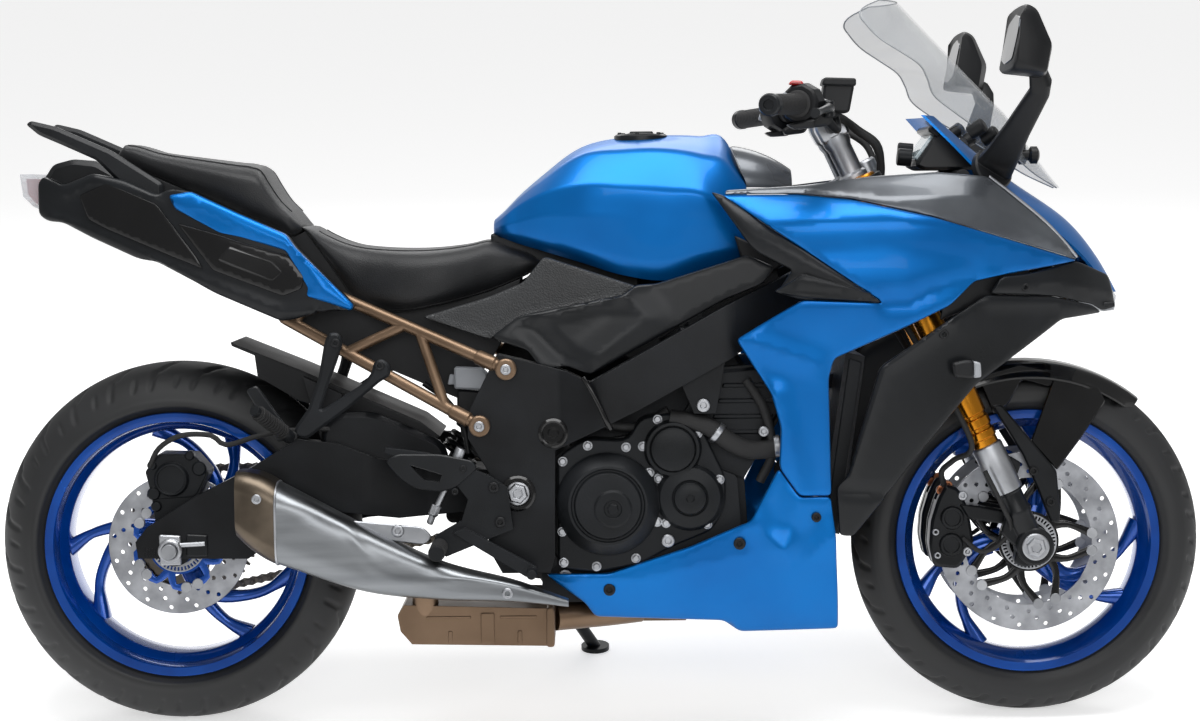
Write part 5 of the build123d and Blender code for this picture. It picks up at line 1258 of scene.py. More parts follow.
for x, z, radius in ((-762, 404, 11), (-684, 446, 12), (-758, 382, 9), (-700, 468, 8), (-764, 452, 8)):
    caliper.add(lathe([(radius, -10), (radius, 5), (radius - 2, 8), (radius - 4, 8)], (x, -CALIPER_FACE, z),
                      RIGHT, 24))
caliper.add(slab([(-776, 440), (-752, 472), (-694, 470), (-668, 440), (-690, 396), (-764, 392)], 96,
                 CALIPER_FACE + 3, bevel=3, corner=10))
caliper.piece("rear_caliper_body", "chassis", CAST)
one(tube([(-768, -118, 450), (-750, -122, 482), (-712, -124, 503), (-662, -126, 503), (-636, -128, 487),
          (-580, -134, 502), (-520, -138, 512), (-440, -124, 508), (-330, -108, 470)], 4.5),
    "rear_brake_hose", "chassis", GRIP, sharp=40)
pillion_pegs = slab([(-592, 584), (-574, 592), (-516, 508), (-540, 496)], 184, 196, bevel=2, corner=6)
one(pillion_pegs, "pillion_peg_plates", "chassis", SATIN, mirror=True)

# Chain: links along the loop around both sprockets

PITCH = 15.875
CHAIN_LEFT = 112
FRONT_SPROCKET, REAR_TEETH, FRONT_TEETH = (-62, 390), 44, 17
big = PITCH / 2 / math.sin(math.pi / REAR_TEETH)
small = PITCH / 2 / math.sin(math.pi / FRONT_TEETH)
run = Vector((REAR_AXLE.x - FRONT_SPROCKET[0], REAR_AXLE.z - FRONT_SPROCKET[1]))
tilt = math.atan2(run.y, run.x)
spread = math.acos((big - small) / run.length)
loop = []
for centre, radius, start, stop in (
    ((REAR_AXLE.x, REAR_AXLE.z), big, tilt - math.pi + spread, tilt + math.pi - spread),
    (FRONT_SPROCKET, small, tilt + math.pi - spread, tilt + math.pi + spread),
):
    for t in np.linspace(start, stop, 60):
        loop.append((centre[0] + radius * math.cos(t), centre[1] + radius * math.sin(t)))
loop = np.array(loop + loop[:1])
lengths = np.concatenate([[0], np.cumsum(np.linalg.norm(np.diff(loop, axis=0), axis=1))])
links = int(lengths[-1] / PITCH / 2) * 2
marks = np.linspace(0, lengths[-1], links + 1)
pins = np.stack([np.interp(marks, lengths, loop[:, 0]), np.interp(marks, lengths, loop[:, 1])], 1)
chain = Shape()
for k in range(links):
    a, b = pins[k], pins[k + 1]
    along = (b - a) / np.linalg.norm(b - a)
    side = np.array([-along[1], along[0]])
    outline = [a - along * 5 + side * 4, a + side * 7, (a + b) / 2 + side * 4.6, b + side * 7,
               b + along * 5 + side * 4, b + along * 5 - side * 4, b - side * 7, (a + b) / 2 - side * 4.6,
               a - side * 7, a - along * 5 - side * 4]
    far = 10.2 if k % 2 else 7.6
    for low in (-far - 1.9, far):
        chain.add(slab(outline, -CHAIN_LEFT + low, -CHAIN_LEFT + low + 1.9, bevel=0.4, corner=0, step=40))
    chain.add(lathe([(3.2, -13), (3.2, -8), (5, -7.5), (5, 7.5), (3.2, 8), (3.2, 13)],
                    (a[0], CHAIN_LEFT, a[1]), LEFT, 10))
chain.add(lathe([(small - 6, -3.5), (small - 2, 0), (small - 6, 3.5), (16, 3.5), (14, 10)],
                (FRONT_SPROCKET[0], CHAIN_LEFT, FRONT_SPROCKET[1]), LEFT, 34))
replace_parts(chain.piece("chain_links", "chassis", CHAIN), "chain")

# Shock absorber with its spring

SHOCK_LOW, SHOCK_HIGH = Vector((-262, 0, 436)), Vector((-170, 0, 578))
shock_axis = (SHOCK_HIGH - SHOCK_LOW).normalized()
coil = one(spring(SHOCK_LOW + shock_axis * 26, SHOCK_HIGH - shock_axis * 30, 29, 5.5, 6.5), "shock_spring",
           "chassis", SATIN, sharp=40)
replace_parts(coil, "rear_shock")
one(lathe([(8, -8), (14, 0), (16, 20), (34, 21), (34, 26), (18, 27), (18, 90), (23, 92), (23, 134), (34, 136),
           (34, 142), (14, 146), (14, 160)], SHOCK_LOW, shock_axis, 32), "shock_body", "chassis", SATIN)

# Fork: gold tubes with turned rings, silver sleeves and black lower legs

STEM_X = 830
FORK_OFFSET = 36.15
FORK_HALF = 105
FORK_AXIS = Vector((-math.sin(RAKE), 0, math.cos(RAKE)))
FORK_AHEAD = Vector((math.cos(RAKE), 0, math.sin(RAKE)))


def on_fork(up, left=-FORK_HALF, ahead=FORK_OFFSET):
    """A point of the steering frame: up along its axis, left of the middle and ahead of the axis."""
    return Vector((STEM_X, left, 0)) + FORK_AXIS * up + FORK_AHEAD * ahead


FORK_LEG = on_fork(0)
gold = lathe([(22, 498), (22, 516), (24.6, 518), (24.6, 530), (22, 532), (22, 537), (24.6, 539), (24.6, 553),
              (22, 555), (22, 560), (24.6, 562), (25, 580), (25, 1003), (23, 1007), (15, 1008), (14, 1003)],
             FORK_LEG, FORK_AXIS, 48)
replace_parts(one(gold, "fork_tubes_ringed", "steering", GOLD, mirror=True), "fork_tubes")
sleeve = lathe([(20, 416), (26, 418), (26.5, 421), (26.5, 499), (25.5, 503), (22.5, 505), (22.2, 501)],
               FORK_LEG, FORK_AXIS, 48)
one(sleeve, "fork_sleeves", "steering", SILVER, mirror=True)
lowers = Shape()
lowers.pair(lathe([(20, 326), (21.5, 332), (22, 372), (24, 376), (24, 382), (22, 386), (22, 412), (24.5, 415),
                   (24.5, 420)], FORK_LEG, FORK_AXIS, 40))
lowers.pair(lathe([(12.6, 83), (30, 83), (32, 86), (32, 124), (29, 127), (23, 127), (22, 123), (12.6, 123),
                   (12.6, 83)], FRONT_AXLE, RIGHT, 56))
lowers.pair(slab([(672, 322), (688, 366), (722, 372), (722, 316), (700, 296)], 95, 115, bevel=3, corner=8))
lowers.pair(slab([(700, 296), (694, 272), (712, 264), (740, 270), (752, 280)], 92, 120, bevel=3, corner=6))
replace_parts(lowers.piece("fork_lowers", "steering", SATIN), "fork_sliders")
nuts = Shape()
nuts.add(lathe([(23, 126), (23, 129), (21, 130.5)], FRONT_AXLE, RIGHT, 40))
nuts.add(lathe([(17, 130), (17, 137), (15, 139), (9.5, 139), (8.5, 134), (4, 134)], FRONT_AXLE, RIGHT, 6))
nuts.add(lathe([(18, 126), (18, 132), (15, 134), (8, 134)], FRONT_AXLE, LEFT, 6))
nuts.piece("front_axle_nuts", "steering", SILVER)

# Front fender: a folded arch with side plates and stays

FENDER_HALF = 74
FENDER_RADIUS = 315


def fender_radius(share):
    """The arch's outer radius across its width, with a flat crown and folded shoulders."""
    crown = 2 * max(0.0, 1 - abs(share) / 0.42)
    fold = 7 * max(0.0, abs(share) - 0.42) / 0.58
    lip = 19 * max(0.0, abs(share) - 0.7) / 0.3
    return FENDER_RADIUS - 4 + crown - fold - lip


fender_rings = []
for angle in np.linspace(51, 115, 44):
    narrow = float(curve((51, 58, 70, 116), (0.45, 0.78, 1, 1))(angle))
    shares = np.linspace(-1, 1, 31)
    outer = [around_wheel(FRONT_AXLE, fender_radius(s), s * narrow * FENDER_HALF, math.radians(angle))
             for s in shares]
    inner = [around_wheel(FRONT_AXLE, fender_radius(s) - 3.5, s * narrow * (FENDER_HALF - 1),
                          math.radians(angle)) for s in shares[::-1]]
    fender_rings.append(outer + inner)
fender = Shape()
fender.add(loft(fender_rings))
fender.pair(slab([(772, 588), (846, 566), (858, 541), (817, 479), (776, 424), (731, 474)], 66, 73, bevel=2,
                 corner=4))
fender.pair(slab([(640, 586), (712, 606), (776, 592), (764, 566), (716, 580), (694, 540), (668, 520)], 64, 71,
                 bevel=2, corner=6))
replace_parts(fender.piece("fender_shell", "steering", GLOSS, sharp=25), "front_fender")
stays = Shape()
stays.pair(slab([(664, 536), (680, 538), (731, 476), (774, 424), (781, 350), (778, 334), (764, 336),
                 (742, 392), (716, 452)], 68, 80, bevel=3, corner=5))
stays.pair(slab([(648, 424), (690, 452), (712, 440), (700, 404), (668, 400)], 70, 92, bevel=3, corner=6))
stays.piece("fender_stays", "steering", SATIN)
fasteners("fender_bolts", "steering", BLACK, [(734, -80, 424, 8), (763, -80, 371, 8)], socket, mirror=True)

# Front calipers: body, pistons, pad pins and hoses

caliper_parts = Shape()
CALIPER_BODY = [
    (555, 298), (563, 262), (606, 258), (632, 302), (622, 362), (606, 396), (584, 404), (570, 378),
    (558, 340),
]
caliper_parts.pair(slab(CALIPER_BODY, 62, 88, bevel=5, corner=9))
caliper_parts.pair(slab(CALIPER_BODY, 31, 44, bevel=4, corner=9))
caliper_parts.pair(slab([(556, 300), (563, 266), (572, 268), (570, 376), (559, 338)], 40, 66, bevel=2,
                        corner=4))
for x, z in ((594, 346), (592, 300)):
    caliper_parts.pair(lathe([(20, 84), (20, 92), (18, 96), (14, 96), (13, 93), (6, 93)], (x, 0, z), RIGHT,
                             36))
caliper_parts.pair(slab([(606, 370), (622, 344), (712, 330), (712, 352), (640, 366)], 62, 92, bevel=3,
                        corner=5))
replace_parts(caliper_parts.piece("front_caliper_bodies", "steering", SATIN), "front_calipers")
pins = Shape()
for x, z, radius in ((566, 322, 6), (569, 282, 6), (612, 384, 8), (620, 288, 8)):
    pins.pair(socket((x, -86, z), RIGHT, radius, 6))
pins.pair(tube([(562, -50, 318), (562, -72, 318)], 4, smooth=False))
pins.piece("caliper_pins", "steering", SILVER)
copper = finish("copper_washer", (184, 116, 84), (206, 138, 100), 0.3, metal=1.0, grain=600)
washers = Shape()
for x, z in ((578, 391), (590, 399)):
    washers.pair(lathe([(7, 60), (8, 61), (8, 66), (7, 67), (5, 67), (4, 60)], (x, 0, z), RIGHT, 20))
washers.piece("caliper_washers", "steering", copper)
brake_lines = Shape()
brake_lines.pair(tube([(584, -66, 398), (578, -74, 424), (596, -96, 446), on_fork(520, -132, 12),
                       on_fork(640, -134, 8), on_fork(760, -122, -4), on_fork(792, -96, 0)], 5))
brake_lines.pair(tube([(612, -92, 312), (640, -104, 290), (668, -108, 300), (690, -112, 330),
                       on_fork(400, -136, 14), on_fork(470, -140, 12)], 4))
brake_lines.piece("front_brake_lines", "steering", GRIP, sharp=40)

# Handlebar: silver risers and clamps, yoke nut, key switch and the cables

BAR = Vector((392, 0, 1012))
RISER_AHEAD = 30.7
risers = Shape()
for left in (-52, 52):
    foot = on_fork(0, left, RISER_AHEAD)
    risers.add(lathe([(22, 1003), (25, 1005), (25, 1014), (20.5, 1018), (20.5, 1064), (24, 1074), (24, 1086)],
                     foot, FORK_AXIS, 40))
CLAMP_CORNERS = ((-25, -22), (25, -22), (27, 8), (20, 20), (-20, 20), (-27, 8))
corners = [BAR + FORK_AHEAD * ahead + FORK_AXIS * up for ahead, up in CLAMP_CORNERS]
risers.pair(slab([(p.x, p.z) for p in corners], 32, 72, bevel=4, corner=6))
for left in (-62, -42, 42, 62):
    for ahead in (-18, 18):
        risers.add(socket(BAR + Vector((0, left, 0)) + FORK_AHEAD * ahead + FORK_AXIS * 18, FORK_AXIS, 5.5,
                          5))
risers.piece("bar_clamps", "steering", SILVER)
yoke_nut = lathe([(24, 1001), (24, 1005), (19, 1006), (19, 1016), (16, 1018), (10, 1018), (9, 1012)],
                 on_fork(0, 0, 0), FORK_AXIS, 12)
key = lathe([(20, 1000), (20, 1022), (17, 1026), (15, 1026), (14, 1023), (3, 1023)], on_fork(0, 0, 62),
            FORK_AXIS, 40)
one(joined(yoke_nut, key), "yoke_nut", "steering", SILVER)
cables = Shape()
for left, ahead, radius in ((-74, 0, 6), (-62, 6, 7), (-46, 2, 5), (66, 0, 6)):
    cables.add(tube([(384, left * 2.3, 1032), (412, left * 1.4, 1024), (434 + ahead, left, 1006),
                     (464 + ahead, left * 0.9, 984), (478, left * 0.8, 950), (476, left * 0.7, 908)], radius))
cables.piece("control_cables", "steering", GRIP, sharp=40)

# Controls: grips, end weights, switch housings, levers and the brake reservoir

GRIP_OUTER, BAR_BEND = Vector((268, -400, 1040)), Vector((352, -215, 1048))
ALONG = (GRIP_OUTER - BAR_BEND).normalized()
GRIP_INNER = GRIP_OUTER - ALONG * 125
HOUSING = GRIP_INNER - ALONG * 20
grips = Shape()
grips.pair(lathe(ribbed(0, 120, 17, 1.6, 6), GRIP_INNER, ALONG, 32))
grips.pair(lathe([(21, 0), (22, 2), (22, 5), (18, 7)], GRIP_INNER, ALONG, 32))
grip_skin = grips.piece("grip_rubbers", "steering", GRIP)
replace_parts(grip_skin, "controls")
one(lathe([(15, 120), (18, 122), (18, 134), (15.5, 138), (9, 138), (8, 134), (4, 134)], GRIP_INNER, ALONG,
          36), "bar_weights", "steering", SATIN, mirror=True)
housings = Shape()
housings.pair(lathe([(24, -44), (30, -42), (33, -36), (34, -22), (33, -6), (29, -1), (20, 0)], GRIP_INNER,
                    ALONG, 10))
housings.pair(lathe([(18, -62), (18, -50), (16, -48)], GRIP_INNER, ALONG, 24))
housings.pair(slab([(330, 1016), (336, 1006), (372, 1010), (380, 1026), (360, 1034)], 226, 264, bevel=4,
                   corner=6))
housings.pair(slab([(300, 1012), (312, 1004), (346, 1006), (346, 1020)], 258, 296, bevel=3, corner=5))
housings.piece("switch_housings", "steering", BLACK)
one(slab([(304, 1076), (309, 1083), (326, 1082), (330, 1074)], 262, 284, bevel=2.5, corner=3), "kill_switch",
    "steering", RED)
buttons = Shape()
for x, z, out in ((300, 1056, 276), (298, 1040, 272)):
    buttons.pair(lathe([(7, -4), (7, 5), (5, 7), (2, 7)], (x, -out, z), (-0.9, 0, 0.3), 20))
buttons.piece("switch_buttons", "steering", box_grey)
LEVER_ROOT = HOUSING + Vector((42, 0, -8))
LEVER_TIP = GRIP_OUTER - ALONG * 20 + Vector((62, 0, -14))
levers = Shape()
levers.pair(tube([LEVER_ROOT, LEVER_ROOT.lerp(LEVER_TIP, 0.3) + Vector((5, 0, 2)),
                  LEVER_ROOT.lerp(LEVER_TIP, 0.7), LEVER_TIP], [10, 7, 6, 5.5, 8]))
levers.piece("hand_levers", "steering", SATIN, sharp=40)
perches = Shape()
perches.pair(tube([HOUSING - ALONG * 20, HOUSING - ALONG * 14 + Vector((26, 0, -4)), LEVER_ROOT],
                  [16, 13, 12], step=6))
perches.pair(lathe([(9, -14), (9, 10), (7, 13), (3, 13)], LEVER_ROOT, UP, 20))
perches.piece("lever_perches", "steering", SATIN)
reservoir = Shape()
reservoir.add(slab([(366, 1034), (371, 1082), (422, 1080), (413, 1033)], 128, 172, bevel=4, corner=6))
reservoir.add(slab([(367, 1079), (371, 1092), (424, 1090), (424, 1077)], 124, 176, bevel=2.5, corner=4))
reservoir.add(lathe([(8, 0), (8, 10), (6, 12)], (390, -150, 1024), UP, 20))
reservoir.add(tube([(390, -150, 1030), (394, -162, 1010), (388, -190, 1006), (372, -214, 1022)], 7))
reservoir.piece("brake_reservoir", "steering", BLACK)

# Dash: a hooded case with a display that faces the rider

DASH_LOW = Vector((531, 0, 950))
DASH_UP = Vector((0.587, 0, 0.81))
DASH_OUT = Vector((-0.81, 0, 0.587))


def on_dash(u, v, w):
    """Places a flat outline on the dash's rear face: u to the right, v up the slope, w to the rider."""
    return np.stack([DASH_LOW.x + v * DASH_UP.x + w * DASH_OUT.x, -u,
                     DASH_LOW.z + v * DASH_UP.z + w * DASH_OUT.z], 1)


hood = slab([(533, 946), (548, 938), (636, 938), (640, 946), (588, 1002), (574, 1008)], -78, 78, bevel=5,
            corner=5)
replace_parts(one(joined(hood, slab([(-80, 58), (80, 58), (80, 70), (-80, 70)], -8, 14, bevel=3,
                                  place=on_dash)), "dash_case", "chassis", SATIN), "dash")
one(slab([(-64, 8), (64, 8), (64, 58), (-64, 58)], -3, 3, bevel=1, corner=5, place=on_dash), "dash_display",
    "chassis", DISPLAY)
knobs = Shape()
knobs.add(lathe([(15, -24), (15, -2), (13, 0), (5, 0)], (510, -16, 962), (-1, 0, 0.1), 32))
knobs.add(lathe([(9, -20), (9, 4), (7, 6)], (522, 26, 978), (-1, 0, 0.1), 24))
knobs.piece("dash_sockets", "chassis", CAST)

# Nose, screen and lamps

edge_strip = [on_fairing(x, z, 1) for x, z in ((644, 926), (690, 890), (736, 853), (770, 820), (797, 790))]
one(tube(edge_strip, 2.6, sides=8), "nose_edge_lines", "chassis", SILVER, mirror=True, sharp=40)
screen_fittings = Shape()
for x, left, z in ((716, 62, 984), (664, 118, 1000), (640, 132, 1012)):
    screen_fittings.pair(lathe([(12, -26), (13, -4), (13, 0), (9, 3), (4, 3)], (x, -left, z),
                               (0.78, -0.35, 0.5), 28))
screen_fittings.piece("screen_fittings", "chassis", BLACK)
lamps = Shape()
for left in (-62, 62):
    lamps.add(lathe([(30, 0), (34, 24), (31, 27), (27, 27), (25, 18), (10, 24), (4, 25)], (806, left, 740),
                    FORWARD, 48))
lamps.piece("headlamp_units", "chassis", SILVER)
sill = slab([(806, 704), (806, 712), (868, 712), (870, 704)], -96, 96, bevel=2, corner=3)
one(sill, "headlamp_sill", "chassis", SATIN)
tail_ribs = Shape()
for k in range(9):
    left = -56 + 14 * k
    tail_ribs.add(slab([(-978, 938), (-960, 938), (-953, 928), (-953, 892), (-964, 898), (-976, 912)],
                       left - 1.5, left + 1.5, bevel=0.5, corner=2))
tail_ribs.piece("tail_lamp_ribs", "chassis", RED)

# Front indicators: a dark foot with a clear lens

indicator_foot = slab([(572, 621), (597, 626), (609, 624), (609, 595), (577, 598)], 214, 246, bevel=4,
                      corner=6)
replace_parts(one(indicator_foot, "indicator_feet", "chassis", BLACK, mirror=True), "front_indicators")
indicator_lens = slab([(608, 624), (620, 621), (621, 597), (608, 596)], 212, 244, bevel=3, corner=4)
one(indicator_lens, "indicator_lenses", "chassis", LAMP_CLEAR, mirror=True)

# Grab rails and radiator

RAIL_OUTLINE = [
    (-965, 1029), (-957, 1035), (-916, 1025), (-824, 984), (-737, 928), (-737, 894), (-800, 918),
    (-848, 968), (-905, 994), (-944, 1011),
]
rail = slab(RAIL_OUTLINE, 91, 113, bevel=6, corner=6)
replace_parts(one(rail, "grab_rail_castings", "chassis", SATIN, mirror=True), "grab_rails")
core_bars = Shape()
for k in range(24):
    share = (k + 0.5) / 24
    x, z = 394 + 44 * share, 330 + 298 * share
    core_bars.add(slab([(x - 3, z), (x + 1.5, z - 0.6), (x + 2.2, z + 3), (x - 2.4, z + 3.6)], -140, 140,
                       bevel=0.4, corner=0, step=60))
core_bars.piece("radiator_fins", "chassis", CORE)
tanks = slab([(366, 340), (396, 332), (438, 622), (408, 632)], 142, 167, bevel=6, corner=8)
one(tanks, "radiator_tanks", "chassis", CAST, mirror=True)

# Nose cowl and windscreen: shields bent across the middle


def shield(levels, thick, steps, across=41):
    """Rings across a bent shield, from rows of height, middle x, edge x and half-width."""
    table = np.array(levels, float)
    rings = []
    for level in np.linspace(table[0, 0], table[-1, 0], steps):
        middle, edge, half = (float(curve(table[:, 0], table[:, k])(level)) for k in (1, 2, 3))
        shares = np.linspace(-1, 1, across)
        outer = [(middle - (middle - edge) * s * s, s * half, level) for s in shares]
        inner = [(x - thick, y, z) for x, y, z in reversed(outer)]
        rings.append(outer + inner)
    return rings


NOSE_LEVELS = [
    (726, 890, 868, 30), (758, 872, 846, 68), (790, 852, 815, 100), (850, 802, 742, 138),
    (930, 690, 640, 146), (985, 624, 588, 130), (1030, 574, 545, 108),
]
nose = one(loft(shield(NOSE_LEVELS, 6, 40)), "nose_cowl_skin", "chassis", BLUE)
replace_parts(nose, "nose_cowl")
SCREEN_LEVELS = [
    (906, 792, 786, 16), (930, 772, 742, 52), (960, 750, 702, 86), (993, 725, 654, 114),
    (1031, 698, 596, 142), (1061, 668, 558, 150), (1090, 640, 546, 154), (1111, 620, 534, 156),
    (1135, 598, 500, 154), (1154, 580, 471, 150), (1180, 555, 446, 144), (1196, 540, 436, 138),
    (1210, 527, 444, 122), (1225, 513, 474, 84),
]
screen_rings = shield(SCREEN_LEVELS, 4, 60)
screen = one(loft(screen_rings), "windscreen_shell", "chassis", SCREEN_CLEAR, sharp=60)
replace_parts(screen, "windscreen")
rim_points = [ring[0] for ring in screen_rings] + screen_rings[-1][2:39:3]
rim_points += [ring[40] for ring in reversed(screen_rings)]
screen_rim = [Vector(p) - Vector((2, 0, 0)) for p in rim_points]
edge_grey = finish("screen_edge", (124, 127, 131), (144, 147, 151), 0.3, grain=900)
one(tube(screen_rim, 1.2, sides=8, smooth=False), "screen_rim", "chassis", edge_grey, sharp=40)
mounts = Shape()
for left in (-60, 60):
    mounts.add(lathe([(8, 0), (9, 6), (9, 86), (15, 90), (15, 100), (8, 104)], (642, left, 962), FORWARD, 28))
mounts.piece("screen_mounts", "chassis", BLACK)

# Mirrors: shells with a flat rear face, folding stems on round feet, and the reflecting glass

MIRROR_OUTLINE = resample(rounded([(668, 1198), (689, 1188), (716, 1131), (706, 1081), (642, 1088)], 9), 6)
MIRROR_SHARES = ((256, 0.5), (260, 0.7), (290, 0.92), (325, 1.0), (370, 0.97), (400, 0.86), (408, 0.7),
                 (413, 0.45), (415, 0.15))
MIRROR_REAR, MIRROR_MIDDLE = 655, 1140
MIRROR_LEAST_HEIGHT = 0.6


def mirror_height(share):
    """The share of its height that the mirror keeps where its section is drawn in."""
    return MIRROR_LEAST_HEIGHT + (1 - MIRROR_LEAST_HEIGHT) * share


def mirror_point(x, z, share):
    """A point of the mirror's outline drawn in towards its flat rear face."""
    return MIRROR_REAR + (x - MIRROR_REAR) * share, MIRROR_MIDDLE + (z - MIRROR_MIDDLE) * mirror_height(share)


mirror_rings = []
for left, share in MIRROR_SHARES:
    ring = [mirror_point(x, z, share) for x, z in MIRROR_OUTLINE]
    mirror_rings.append([(x, -left, z) for x, z in ring])
shells = Shape()
shells.pair(loft(mirror_rings))
stem_rings = []
STEM_SIDE = Vector((0.94, 0, -0.33))
for x, left, z, half, thick in ((655, 140, 938, 34, 13), (668, 180, 966, 28, 11), (682, 228, 1002, 22, 10),
                                (707, 292, 1060, 17, 10), (706, 306, 1080, 19, 14), (700, 312, 1096, 17, 12)):
    normal = Vector((61, -146, 121)).cross(STEM_SIDE).normalized()
    ring = []
    for k in range(20):
        u, v = squared(2 * math.pi * k / 20, 0.6)
        ring.append(Vector((x, -left, z)) + STEM_SIDE * (u * half) + normal * (v * thick))
    stem_rings.append(ring)
shells.pair(loft(stem_rings))
shells.pair(lathe([(37, -8), (37, 3), (34, 6), (20, 8)], (655, -140, 938), (0.45, -0.8, 0.4), 36))
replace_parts(shells.piece("mirror_shells", "chassis", BLACK), "mirrors")


def on_mirror(u, v, w):
    """Places a flat outline on a mirror's rear face: u outward, v up and w to the rear."""
    share = np.interp(u, [left for left, _ in MIRROR_SHARES], [share for _, share in MIRROR_SHARES])
    high = MIRROR_MIDDLE + (v - MIRROR_MIDDLE) / mirror_height(share)
    rear = MIRROR_REAR + (np.interp(high, (1088, 1198), (642, 668)) - MIRROR_REAR) * share
    return np.stack([rear - w, -u, v], 1)


glass_outline = [(276, 1112), (330, 1102), (392, 1108), (394, 1150), (380, 1174), (332, 1182), (280, 1168)]
one(slab(glass_outline, -2, 1.6, bevel=0.6, corner=10, step=8, place=on_mirror), "mirror_glasses", "chassis",
    MIRROR, mirror=True)

# Subframe: rails with eyelets, collars and struts

UPPER_RAIL = (Vector((-160, -198, 615)), Vector((-484, -98, 752)))
LOWER_RAIL = (Vector((-205, -198, 521)), Vector((-534, -104, 697)))


def along_rail(rail, x):
    """The point of a right-hand rail at a distance along the motorcycle."""
    return rail[0].lerp(rail[1], (x - rail[0].x) / (rail[1].x - rail[0].x))


rails = Shape()
for first, last in (UPPER_RAIL, LOWER_RAIL):
    run = (last - first).normalized()
    rails.pair(tube([first, last], 10, sides=24, smooth=False))
    rails.pair(lathe([(10, 20), (12.5, 22), (12.5, 52), (10, 56)], first, run, 28))
    rails.pair(lathe([(15, -10), (17.5, -8), (17.5, 8), (15, 10)], first, RIGHT, 36))
    rails.add(tube([(last.x, last.y, last.z), (last.x, -last.y, last.z)], 10, sides=24, smooth=False))
for upper_x, lower_x in ((-305, -262), (-330, -430), (-480, -520)):
    rails.pair(tube([along_rail(UPPER_RAIL, upper_x), along_rail(LOWER_RAIL, lower_x)], 9, sides=20,
                    smooth=False))
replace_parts(rails.piece("subframe_tubes", "chassis", BRONZE, sharp=35), "subframe")

# Passenger footrest brackets: an open V below the rails

BRACKET_OUTLINE = [
    (-462, 660), (-455, 677), (-438, 678), (-430, 664), (-441, 630), (-455, 593), (-470, 548), (-440, 566),
    (-398, 593), (-384, 610), (-380, 628), (-366, 634), (-352, 622), (-353, 605), (-370, 595), (-423, 551),
    (-494, 500), (-515, 506), (-513, 520), (-490, 552), (-472, 604),
]
brackets = Shape()
brackets.pair(slab(BRACKET_OUTLINE, 171, 186, bevel=4.5, corner=7, step=8))
for x, z in ((-445, 665), (-367, 618)):
    brackets.pair(tube([along_rail(LOWER_RAIL, x), (x, -174, z)], 9, sides=20, smooth=False))
brackets.pair(lathe([(9, 0), (11, 4), (11, 26), (9, 30), (9, 112)], PASSENGER_PEG, PASSENGER_PEG_AXIS, 24))
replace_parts(brackets.piece("pillion_brackets", "chassis", CAST), "pillion_footrests")

# Swingarm brace over the right arm, and the inlet castings between the spars

brace_outline = [(-476, 512), (-446, 540), (-386, 540), (-318, 510), (-270, 488), (-258, 452), (-370, 434),
                 (-476, 452)]
one(slab(brace_outline, 102, 132, bevel=9, corner=16), "swingarm_brace", "chassis", FRAME_BLACK, sharp=45)
inlets = Shape()
inlets.add(slab([(-44, 500), (20, 566), (120, 618), (214, 660), (244, 604), (180, 540), (110, 486)], -112,
                112, bevel=8, corner=12))
for left in (-105, -35, 35, 105):
    inlets.add(lathe([(28, 0), (30, 4), (30, 40), (26, 44), (26, 74), (30, 78), (30, 96)], (170, left, 590),
                     (-0.5, 0, 0.87), 36))
inlets.piece("inlet_castings", "chassis", CAST)

# Painted shade: black fillers behind the seams of tank, seat and fairing, where the gaps show only shade

shade_fillers = Shape()
shade_fillers.add(slab([(-188, 838), (-97, 814), (-12, 794), (64, 768), (64, 742), (-97, 776), (-150, 796),
                  (-188, 812)], -64, 64, bevel=3, corner=5))
shade_fillers.pair(slab([(222, 832), (262, 814), (304, 782), (282, 768), (236, 786)], 100, 150, bevel=3, corner=4))
shade_fillers.pair(sheet([(556, 690), (640, 722), (712, 752), (708, 778), (600, 766), (560, 726)],
                   lifted(fairing, -12), wall=4, corner=5))
shade_fillers.add(slab([(0, 640), (60, 710), (150, 765), (286, 816), (304, 752), (190, 660), (100, 605)], -108, 108,
                 bevel=3, corner=5))
shade_fillers.piece("seam_shade_fillers", "chassis", BLACK, sharp=40)

# Stage, light and camera

scene = bpy.context.scene
scene.view_settings.view_transform = "Standard"

FLOOR_HALF = 30.0
FLOOR_GLOW = 0.55
SKY_LIGHT = 0.4
SKY_SEEN = 0.87
floor_mesh = bpy.data.meshes.new("floor")
floor_mesh.from_pydata([(x, y, 0) for x, y in ((-1, -1), (1, -1), (1, 1), (-1, 1))], [], [(0, 1, 2, 3)])
floor_mesh.transform(Matrix.Scale(FLOOR_HALF, 4))
floor = bpy.data.objects.new("floor", floor_mesh)
scene.collection.objects.link(floor)

pale = bpy.data.materials.new("pale_floor")
pale.use_nodes = True
pale_nodes, pale_links = pale.node_tree.nodes, pale.node_tree.links
pale_shader = pale_nodes["Principled BSDF"]
pale_shader.inputs["Base Color"].default_value = (0.8, 0.8, 0.8, 1)
pale_shader.inputs["Roughness"].default_value = 0.9
pale_shader.inputs["Emission Color"].default_value = (1, 1, 1, 1)
seen = pale_nodes.new("ShaderNodeLightPath")
both_rays = pale_nodes.new("ShaderNodeMath")
both_rays.operation = "MAXIMUM"
pale_links.new(seen.outputs["Is Camera Ray"], both_rays.inputs[0])
pale_links.new(seen.outputs["Is Glossy Ray"], both_rays.inputs[1])
glow = pale_nodes.new("ShaderNodeMath")
glow.operation = "MULTIPLY"
glow.inputs[1].default_value = FLOOR_GLOW
pale_links.new(both_rays.outputs["Value"], glow.inputs[0])
pale_links.new(glow.outputs["Value"], pale_shader.inputs["Emission Strength"])
floor_mesh.materials.append(pale)

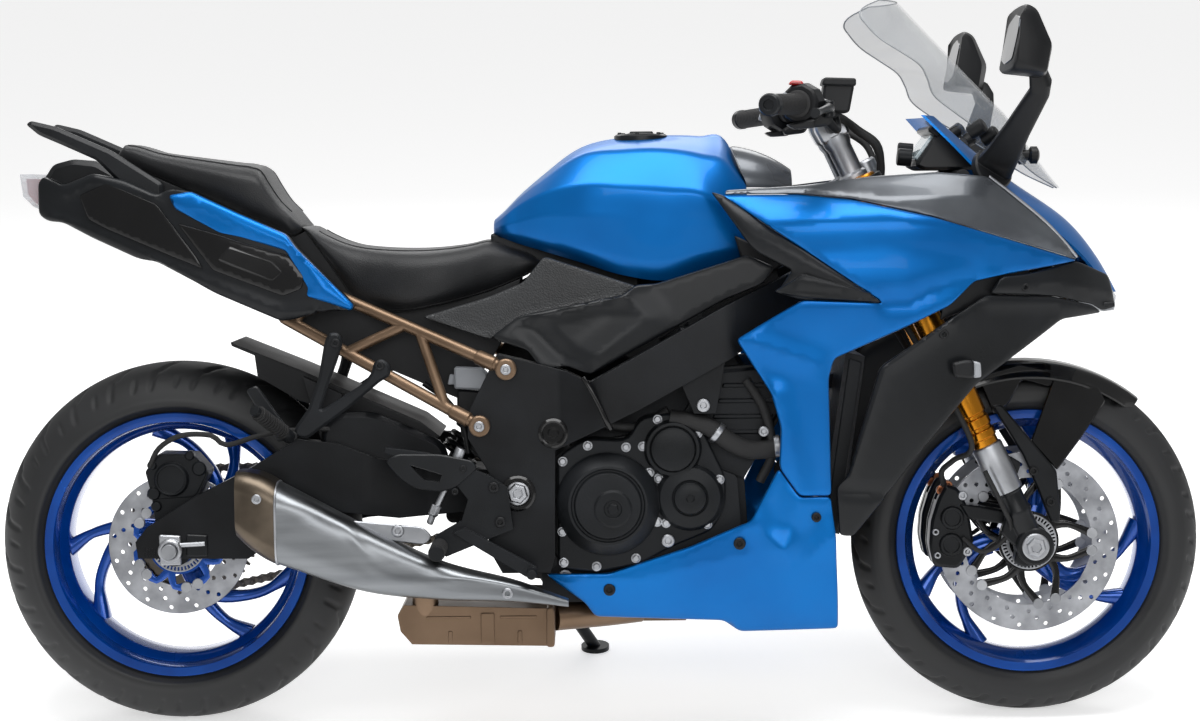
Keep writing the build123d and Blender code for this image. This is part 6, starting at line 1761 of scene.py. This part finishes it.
world = bpy.data.worlds.new("studio")
scene.world = world
world.use_nodes = True
sky_nodes, sky_links = world.node_tree.nodes, world.node_tree.links
sky = sky_nodes["Background"]
sky.inputs["Color"].default_value = (1, 1, 1, 1)
sky_seen = sky_nodes.new("ShaderNodeLightPath")
sky_share = sky_nodes.new("ShaderNodeMapRange")
sky_share.inputs["To Min"].default_value = SKY_LIGHT
sky_share.inputs["To Max"].default_value = SKY_SEEN
sky_links.new(sky_seen.outputs["Is Camera Ray"], sky_share.inputs["Value"])
sky_links.new(sky_share.outputs["Result"], sky.inputs["Strength"])


def lamp(name, where, target, size, power):
    """A soft rectangular lamp aimed at a point, in metres."""
    data = bpy.data.lights.new(name, "AREA")
    data.shape = "RECTANGLE"
    data.size, data.size_y = size
    data.energy = power
    made = bpy.data.objects.new(name, data)
    made.location = where
    made.rotation_mode = "QUATERNION"
    made.rotation_quaternion = (Vector(target) - Vector(where)).to_track_quat("-Z", "Y")
    scene.collection.objects.link(made)


lamp("top", (0, -0.4, 3.4), (0, 0, 0.6), (3.4, 1.6), 110)
lamp("near_side", (0.4, -3.6, 2.2), (0, 0, 0.6), (3.0, 1.2), 40)
lamp("far_side", (0, 3.2, 2.4), (0, 0, 0.6), (3.0, 1.5), 40)

# The camera stands level with the handlebar, square to the right side, and is leaned with the motorcycle
CAMERA_X, CAMERA_FAR, CAMERA_HIGH = -4, 4400, 902
CAMERA_LENS = 76.3
AIM = Vector((CAMERA_X, 0, 615))
ROLL = math.radians(-0.56)
camera_data = bpy.data.cameras.new("camera")
camera_data.sensor_width = 36
camera_data.lens = CAMERA_LENS
camera = bpy.data.objects.new("camera", camera_data)
scene.collection.objects.link(camera)
eye = Vector((CAMERA_X, -CAMERA_FAR, CAMERA_HIGH))
look = (AIM - eye).normalized()
right = look.cross(Vector(UP)).normalized()
up = right.cross(look)
upright = Matrix((right, up, -look)).transposed().to_4x4()
turn = TILT @ upright @ Matrix.Rotation(ROLL, 4, "Z")
camera.rotation_mode = "QUATERNION"
camera.rotation_quaternion = turn.to_quaternion()
camera.location = PARK @ eye
scene.camera = camera

bpy.context.view_layer.update()
